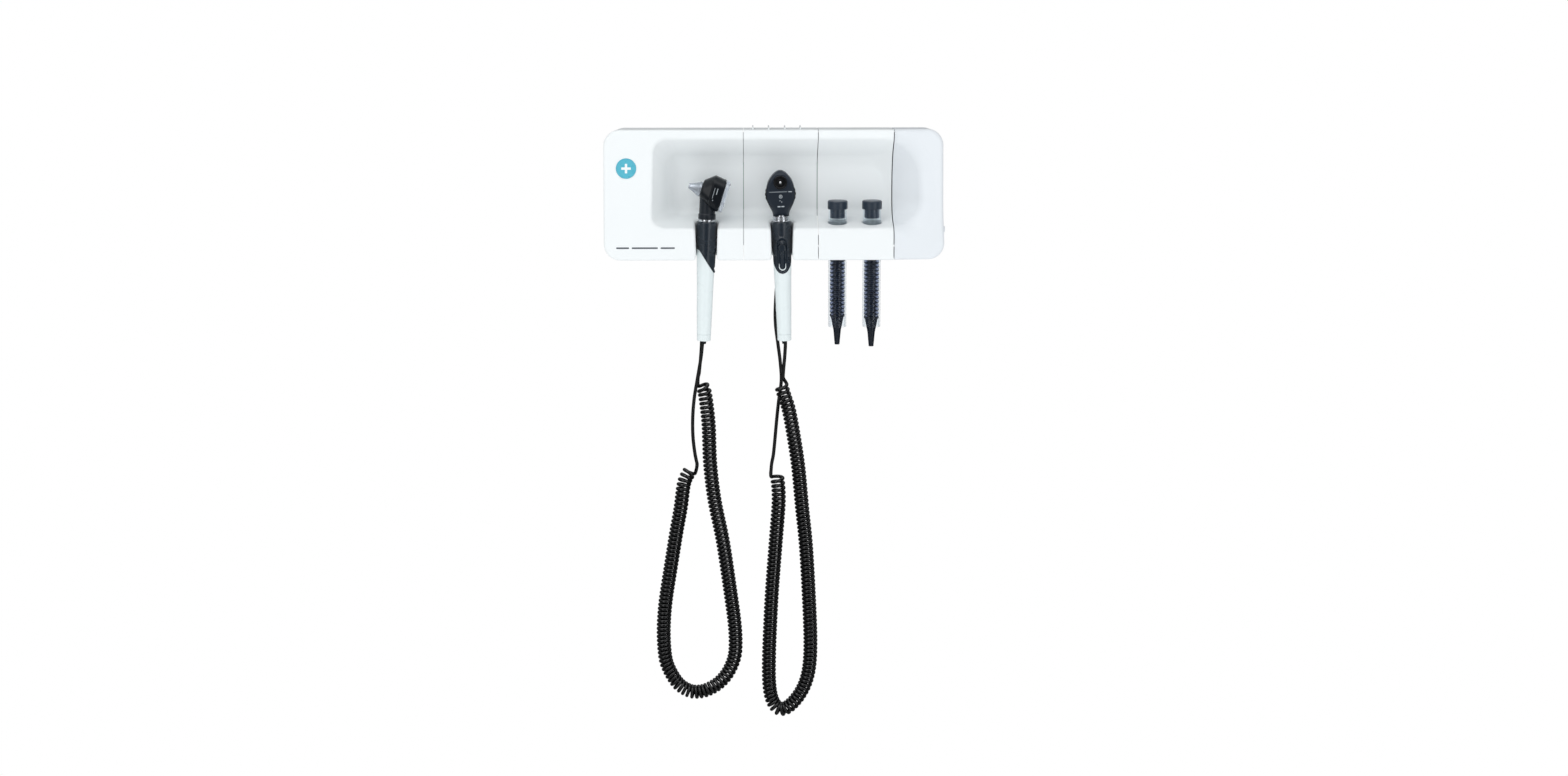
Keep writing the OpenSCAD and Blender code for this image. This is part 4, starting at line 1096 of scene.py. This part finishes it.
# (x, z) up the +x side of the head
HALF_OUTLINE = [
    (9.0, 5.4), (9.05, 8.0), (9.8, 11.2), (12, 16.1), (14.1, 21.1), (15.3, 26),
    (15.6, 33.3), (15.1, 38.3), (13.6, 43.3), (11.1, 48.1), (6.6, 53.3), (2.6, 55.9)]
HEAD_OUTLINE = catmull(
    HALF_OUTLINE + [(0, 56.3)] + [(-x, z) for x, z in HALF_OUTLINE[::-1]], 5)
# (z, half depth) and (z, edge radius)
HEAD_DEPTH = ((4, 9.0), (9, 9.1), (14, 9.9), (20, 10.6), (30, 11.0), (46, 10.9), (52, 9.9),
              (56.4, 7.2))
HEAD_EDGE = ((4, 8.6), (9, 8.4), (14, 7.0), (20, 4.6), (26, 3.2), (60, 3.2))
WHEEL_Z, WINDOW_Z = 29.8, 43.8


def head_depth(z):
    return look_up(HEAD_DEPTH, z)


def ophthalmoscope_field(x, y, z):
    d = polygon_distance(x, z, HEAD_OUTLINE)
    d = round_max(d, np.abs(y) - head_depth(z), look_up(HEAD_EDGE, z))
    return round_max(d * 0.95, 6.3 - z, 0.4)


def facing_front(z):
    """Turn at height z that points local z to -y."""
    return move(0, 0, z) @ turn_x(90)


def cut_through(radius, y0, y1, z, count=64):
    """Cylinder along y."""
    return cut_cylinder(radius, -y1, -y0, facing_front(z), count)


def head_cuts():
    return [cut_through(13, -5, 1.2, 30),
            cut_through(1.55, -20, 20, WHEEL_Z, 32), cut_through(2.3, -20, 20, WINDOW_Z, 40),
            cut_cylinder(6.05, -5, 7.2, count=64), cut_cylinder(3.2, 5, 19),
            cut_through(16.9, -8.9, -6.3, WHEEL_Z, 96), cut_through(17, 2.3, 6.2, WHEEL_Z, 96)]


blank = make("oph_blank", *surface_net(
    ophthalmoscope_field, (-17.2, -12.3, 3.9), (17.2, 12.3, 58.1), 0.42),
    SLATE)
# side, trims that leave one half, window recess (radius, y0, y1)
HEAD_HALVES = (
    ("front", (("INTERSECT", (-30, 30, -120, 0, -120, 120)),
               ("DIFFERENCE", (-30, 30, -0.05, 30, -10, 80))), (7.6, -20, -9.6)),
    ("back", (("DIFFERENCE", (-30, 30, -30, 0.05, -10, 80)),), (5.2, 8.6, 20)),
)
for side, trims, window in HEAD_HALVES:
    shell = copy_piece(blank, f"ophthalmoscope_{side}_shell")
    for operation, box in trims:
        boolean(shell, [cut_box(*box)], operation)
    boolean(shell, head_cuts() + [cut_through(*window, WINDOW_Z)])
    place(shell, OPHTHALMOSCOPE)
    finish_piece(shell, "ophthalmoscope_head", "head_plastic", f"ophthalmoscope_head_{side}")
discard(blank)

window_frame = OPHTHALMOSCOPE @ facing_front(WINDOW_Z)
bezel = lathe("ophthalmoscope_window_bezel_body", [
    (1.4, 9.65), (7.4, 9.65, 0.2), (7.4, 11.5, 0.3), (6.9, 11.85, 0.3), (6.2, 11.6, 0.3),
    (5.4, 10.75, 0.4), (3.6, 10.55, 0.3), (3.2, 10.85, 0.2), (2.4, 10.85, 0.2),
    (1.4, 10.3, 0.1)], BEZEL, window_frame)
finish_piece(bezel, "ophthalmoscope_head", "black_plastic", "ophthalmoscope_window_bezel")
base_ring = lathe("ophthalmoscope_base_ring_body", [
    (6.05, 2.85), (8.9, 2.85, 0.2), (9.3, 3.2, 0.25), (9.3, 4.2, 0.2), (8.75, 4.45, 0.15),
    (8.75, 4.7, 0.15), (9.15, 4.95, 0.2), (9.15, 5.9, 0.25), (8.8, 6.2, 0.2), (6.05, 6.2)],
    CHROME, OPHTHALMOSCOPE, count=128)
finish_piece(base_ring, "ophthalmoscope_head", "chrome_ring", "ophthalmoscope_base_ring")
# small domed glass in the middle of the window
sight = lathe("ophthalmoscope_sight_glass", [
    (0, 10.6), (0.7, 10.5), (1.2, 10.25), (1.5, 9.9, 0.1), (1.38, 9.7), (0, 9.7)],
    MIRROR, window_frame, count=48)
finish_piece(sight, "ophthalmoscope_head", "mirror_face")


def head_mark(tag, outline, low, high, x, z):
    """Light mark on the front of the head, from low to high out of its mid plane."""
    mark = prism("ophthalmoscope_mark_" + tag, outline, low, high, LIGHT_PRINT,
                 OPHTHALMOSCOPE @ move(x, 0, 0) @ facing_front(z))
    finish_piece(mark, "ophthalmoscope_head", "button_grey")


# a long thin line and a short bar: x from, x to, half width
for tag, x0, x1, half in (("line", -12.6, 7.0, 0.2), ("bar", 8.4, 12.4, 0.42)):
    head_mark(tag, rectangle(x0, x1, -half, half, half * 0.9), 10.9, 11.08, x=0, z=33.6)

RING_Z = 28.4
ring_face = float(head_depth(RING_Z))
ring = lathe("ophthalmoscope_mark_ring_0", [
    (1.35, ring_face - 0.05), (1.9, ring_face - 0.05), (1.9, ring_face + 0.1),
    (1.35, ring_face + 0.1)], LIGHT_PRINT, OPHTHALMOSCOPE @ facing_front(RING_Z),
    count=40, smooth=40)
finish_piece(ring, "ophthalmoscope_head", "button_grey")

for i, (x, z) in enumerate(((-0.9, 23.9), (1.0, 22.5), (0, RING_Z))):
    face = float(head_depth(z))
    head_mark(f"dot_{i}", circle(0.5, 32), face - 0.05, face + 0.1, x, z)

low_face = float(head_depth(17.4))
for i, x0 in enumerate((-3.7, 0.5)):
    head_mark(f"low_{i}", rectangle(x0, x0 + 3.2, -0.6, 0.6, radius=0.3),
              low_face - 0.12, low_face + 0.12, x=0, z=17.4)

# ---------------------------------------------------------------- cords

COIL_RADIUS, COIL_PITCH, CORD_RADIUS = 6.25, 4.7, 2.0

# (x, y, z) along each cord: straight lead from the handle, axis of the coil, tail to the station
OTOSCOPE_LEAD = [
    (-78.0, -48, -150), (-78.55, -48, -159), (-79.4, -48, -166.2), (-81.3, -48, -183.2),
    (-85.4, -48, -207.1), (-89.1, -48, -229.2), (-90.9, -48, -251.0), (-90.8, -47.5, -273.1),
    (-88.8, -47, -292.0), (-86.6, -46.6, -303.5)]
OTOSCOPE_COIL = [
    (-94.0, -46, -311.8), (-101.1, -46, -325.7), (-105.2, -45, -354.9),
    (-110.5, -44.5, -384.1), (-118.2, -43.5, -431.3), (-123.7, -42.5, -467.6),
    (-125.9, -41.5, -499.7), (-124.7, -41, -528.7), (-120.6, -40.5, -544.8),
    (-110.3, -40, -562.9), (-97.7, -39.5, -571.9), (-87.4, -39, -573.5),
    (-77.1, -38.5, -571.4), (-64.3, -38, -564.1), (-53.4, -37, -551.9), (-45.5, -36, -533.3),
    (-44.1, -35, -513.1), (-45.4, -34, -491.3), (-49.6, -33, -458.3), (-58.2, -31.5, -397.0),
    (-67.3, -30.5, -350.7), (-72.2, -30, -306.4), (-73.5, -30, -262.0), (-77.5, -30, -226.8),
    (-80.4, -30, -219.0)]
OTOSCOPE_TAIL = [
    (-85.3, -30, -217.3), (-85.0, -29.8, -209.0), (-83.5, -29.5, -201.3),
    (-81.0, -29.2, -172.8), (-79.7, -28.4, -133.0), (-78.2, -27.2, -88), (-78, -27, -76),
    (-78, -27, -62), (-78, -27, -56)]
OPHTHALMOSCOPE_LEAD = [
    (11.6, -48, -150), (11.9, -48, -159), (12.6, -48, -166.2), (11.9, -48, -181.0),
    (10.6, -47.5, -195.8), (10.0, -46.9, -205)]
OPHTHALMOSCOPE_COIL = [
    (8.2, -45, -215.9), (11.7, -44, -228.3), (16.5, -43, -243.3), (22.3, -42.5, -275.7),
    (27.4, -42, -311.1), (31.4, -41, -355.6), (36.1, -40, -402.3), (39.9, -39, -470.3),
    (41.4, -38, -514.5), (40.2, -37.5, -543.3), (35.7, -37, -563.9), (27.4, -36.5, -580.3),
    (17.3, -36, -591.9), (9.3, -35.5, -595.9), (2.6, -35, -593.4), (-3.1, -34.5, -582.7),
    (-5.8, -34, -563.6), (-5.9, -33, -534.0), (-4.8, -32, -502.5), (-2.5, -31, -457.2),
    (1.1, -30.5, -409.2), (4.5, -30, -365.8), (5.3, -30, -350.8), (5.0, -30, -336.0),
    (3.5, -30, -323.0)]
OPHTHALMOSCOPE_TAIL = [
    (-3.4, -30, -316.6), (-2.6, -29.6, -308), (-0.3, -29, -294.8), (3.1, -28, -258.0),
    (5.4, -27.5, -236.2), (8.3, -27.5, -213.2), (7.2, -27.5, -192.6), (4.8, -28, -173.1),
    (2.0, -28, -150.3), (1.6, -28, -132.2), (3.2, -27.8, -105.0), (4.9, -27, -82),
    (5, -27, -76), (5, -27, -62), (5, -27, -56)]


def resample(points, step):
    """Evenly spaced points along a path, and its length."""
    p = np.asarray(points, float)
    s = np.concatenate([[0], np.cumsum(np.linalg.norm(np.diff(p, axis=0), axis=1))])
    t = np.linspace(0, s[-1], max(int(round(s[-1] / step)), 2) + 1)
    return np.stack([np.interp(t, s, p[:, k]) for k in range(3)], 1), t


def coil(axis, per_turn):
    """Helix round an axis path; returns points and outward directions."""
    path = catmull(axis, 12)
    for _ in range(6):
        path[1:-1] = (path[:-2] + 2 * path[1:-1] + path[2:]) / 4
    c, s = resample(path, 0.5)
    length = s[-1]
    t = np.linspace(0, length, int(length / COIL_PITCH * per_turn) + 1)
    centre = np.stack([np.interp(t, s, c[:, k]) for k in range(3)], 1)
    along = np.gradient(centre, axis=0)
    for k in range(3):
        along[:, k] = np.convolve(np.pad(along[:, k], 15, mode="edge"), np.ones(31) / 31, "valid")
    along /= np.linalg.norm(along, axis=1)[:, None]
    n1 = np.cross(along, np.array([0, 1.0, 0]))
    n1 /= np.linalg.norm(n1, axis=1)[:, None]
    n2 = np.cross(along, n1)
    # turns open out towards both ends
    loose = 1 + 0.25 * np.exp(-np.minimum(t, length - t) / 16.0)
    rate = 1 / (COIL_PITCH * loose)
    turns = np.concatenate([[0], np.cumsum((rate[1:] + rate[:-1]) / 2 * np.diff(t))])
    phase = 2 * np.pi * turns
    outward = np.cos(phase)[:, None] * n1 + np.sin(phase)[:, None] * n2
    return centre + COIL_RADIUS * outward, outward


def join(p0, t0, p1, t1):
    """Points strictly between p0 and p1 on a curve with the given end tangents."""
    t = np.linspace(0, 1, 14)[:, None]
    curve = ((2 * t ** 3 - 3 * t ** 2 + 1) * p0 + (t ** 3 - 2 * t ** 2 + t) * t0
             + (-2 * t ** 3 + 3 * t ** 2) * p1 + (t ** 3 - t ** 2) * t1)
    return curve[1:-1]


def blend_directions(a, b, count):
    steps = [(k + 1) / (count + 1) for k in range(count)]
    return np.array([unit(a * (1 - t) + b * t + 1e-6) for t in steps])


def cord(name, lead, axis, tail):
    """Cord in two pieces that meet at its lowest coil point."""
    lead, _ = resample(catmull(lead, 10), 1.6)
    tail, _ = resample(catmull(tail, 10), 1.6)
    turns, outward = coil(axis, 24)
    first = join(lead[-1], unit(lead[-1] - lead[-2]) * 9,
                 turns[0], unit(turns[1] - turns[0]) * 12)
    last = join(turns[-1], unit(turns[-1] - turns[-2]) * 12,
                tail[0], unit(tail[1] - tail[0]) * 9)
    path = np.concatenate([lead, first, turns, last, tail])
    fixed = np.array([0.0, 1.0, 0.0])
    outward = np.concatenate([
        np.tile(fixed, (len(lead), 1)), blend_directions(fixed, outward[0], len(first)), outward,
        blend_directions(outward[-1], fixed, len(last)), np.tile(fixed, (len(tail), 1))])
    low = len(lead) + len(first) + int(np.argmin(turns[:, 2]))
    handle_side = sweep(name + "_handle_side", path[:low + 1], CORD_RADIUS, CORD,
                        outward[:low + 1])
    station_side = sweep(name + "_station_side", path[low:], CORD_RADIUS, CORD, outward[low:])
    finish_piece(station_side, "station", "cord_jacket")
    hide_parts(name)
    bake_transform(handle_side)


cord("otoscope_cord", OTOSCOPE_LEAD, OTOSCOPE_COIL, OTOSCOPE_TAIL)
cord("ophthalmoscope_cord", OPHTHALMOSCOPE_LEAD, OPHTHALMOSCOPE_COIL, OPHTHALMOSCOPE_TAIL)

# ---------------------------------------------------------------- stage, light, camera (metres)

scene = bpy.context.scene
scene.view_settings.view_transform = "Standard"
scene.view_settings.look = "None"


def floor_material():
    """Plain white to the camera, clear to reflections, softly glowing to other rays."""
    m = bpy.data.materials.new("floor_white")
    m.use_nodes = True
    tree = m.node_tree
    surface = tree.nodes["Principled BSDF"]
    for key, value in (("Base Color", (0.80, 0.81, 0.82, 1)), ("Roughness", 0.9),
                       ("Emission Color", (1, 1, 1, 1)), ("Emission Strength", 0.46)):
        surface.inputs[key].default_value = value
    white = node(tree, "Emission", {"Color": (1, 1, 1, 1), "Strength": 1.0})
    ray = node(tree, "LightPath").outputs
    seen = node(tree, "MixShader", {
        0: ray["Is Camera Ray"], 1: surface.outputs[0], 2: white.outputs[0]})
    clear = node(tree, "BsdfTransparent")
    mixed = node(tree, "MixShader", {
        0: ray["Is Glossy Ray"], 1: seen.outputs[0], 2: clear.outputs[0]})
    tree.links.new(mixed.outputs[0], tree.nodes["Material Output"].inputs[0])
    return m


FLOOR_HALF, FLOOR_Z = 160.0, -1.35
floor_finish = floor_material()
floor_mesh = bpy.data.meshes.new("floor")
floor_mesh.from_pydata(
    [(x * FLOOR_HALF, y * FLOOR_HALF, FLOOR_Z) for x, y in ((-1, -1), (1, -1), (1, 1), (-1, 1))],
    [], [(0, 1, 2, 3)])
floor = bpy.data.objects.new("floor", floor_mesh)
floor_mesh.materials.append(floor_finish)
scene.collection.objects.link(floor)


def build_world():
    """White to the camera, a soft front-to-back ramp as light, and soft boxes in reflections."""
    world = bpy.data.worlds.new("world")
    world.use_nodes = True
    tree = world.node_tree
    background = tree.nodes["Background"]
    generated = node(tree, "TexCoord").outputs["Generated"]
    direction = node(tree, "SeparateXYZ", {0: generated}).outputs

    def band(value, centre, half, soft, gain):
        """Soft-edged band round a centre value."""
        distance = calc(tree, "ABSOLUTE", calc(tree, "SUBTRACT", value, centre))
        return node(tree, "MapRange", {
            "Value": distance, "From Min": half + soft, "From Max": half, "To Max": gain},
            interpolation_type="SMOOTHSTEP").outputs[0]

    def switch(ray, a, b):
        return node(tree, "Mix", {0: ray, 2: a, 3: b}, data_type="FLOAT").outputs[0]

    ramp = node(tree, "MapRange", {
        "Value": direction["Y"], "From Min": 0.25, "From Max": -0.95,
        "To Min": 0.6, "To Max": 0.845}, interpolation_type="SMOOTHSTEP").outputs[0]
    ray = node(tree, "LightPath").outputs
    light = switch(ray["Is Camera Ray"], ramp, 1.0)
    # bearing is 0 towards the front and grows towards +x
    bearing = calc(tree, "ARCTAN2", direction["X"], calc(tree, "MULTIPLY", direction["Y"], -1.0))
    left = band(bearing, math.radians(-36), half=math.radians(7), soft=math.radians(14), gain=0.62)
    right = band(bearing, math.radians(30), half=math.radians(4), soft=math.radians(6), gain=1.5)
    studio = calc(tree, "ADD", left, right)
    overhead = band(direction["Z"], 1.0, half=0.25, soft=0.35, gain=0.8)
    studio = calc(tree, "ADD", studio, overhead)
    studio = calc(tree, "ADD", studio, 0.13)
    strength = switch(ray["Is Glossy Ray"], light, studio)
    tree.links.new(strength, background.inputs["Strength"])
    background.inputs["Color"].default_value = (0.97, 0.985, 1.0, 1)
    return world


scene.world = build_world()


def area(name, location, target, size, power, color=(1, 1, 1)):
    light = bpy.data.lights.new(name, "AREA")
    light.shape = "RECTANGLE"
    light.size, light.size_y = size
    light.energy = power
    light.color = color
    ob = bpy.data.objects.new(name, light)
    ob.location = location
    aim = Vector(target) - Vector(location)
    ob.rotation_euler = aim.to_track_quat("-Z", "Y").to_euler()
    scene.collection.objects.link(ob)


area("key", (-1.35, -1.9, 0.95), target=(0, -0.05, -0.1), size=(0.4, 2.4), power=7)
area("top", (-0.5, -1.2, 2.1), target=(0, -0.05, 0), size=(1.6, 0.8), power=7)
area("fill", (1.7, -1.9, 0.6), target=(0, -0.05, -0.1), size=(0.32, 2.2), power=5,
     color=(0.96, 0.98, 1.0))

lens_data = bpy.data.cameras.new("camera")
lens_data.lens = 54.78
lens_data.sensor_width = 36
lens_data.clip_end = 500
camera = bpy.data.objects.new("camera", lens_data)
camera.location = (-0.030, -2.660, 0.28345)
camera.rotation_euler = (math.radians(90 - 10.860), 0, math.radians(-0.9))
scene.collection.objects.link(camera)
scene.camera = camera
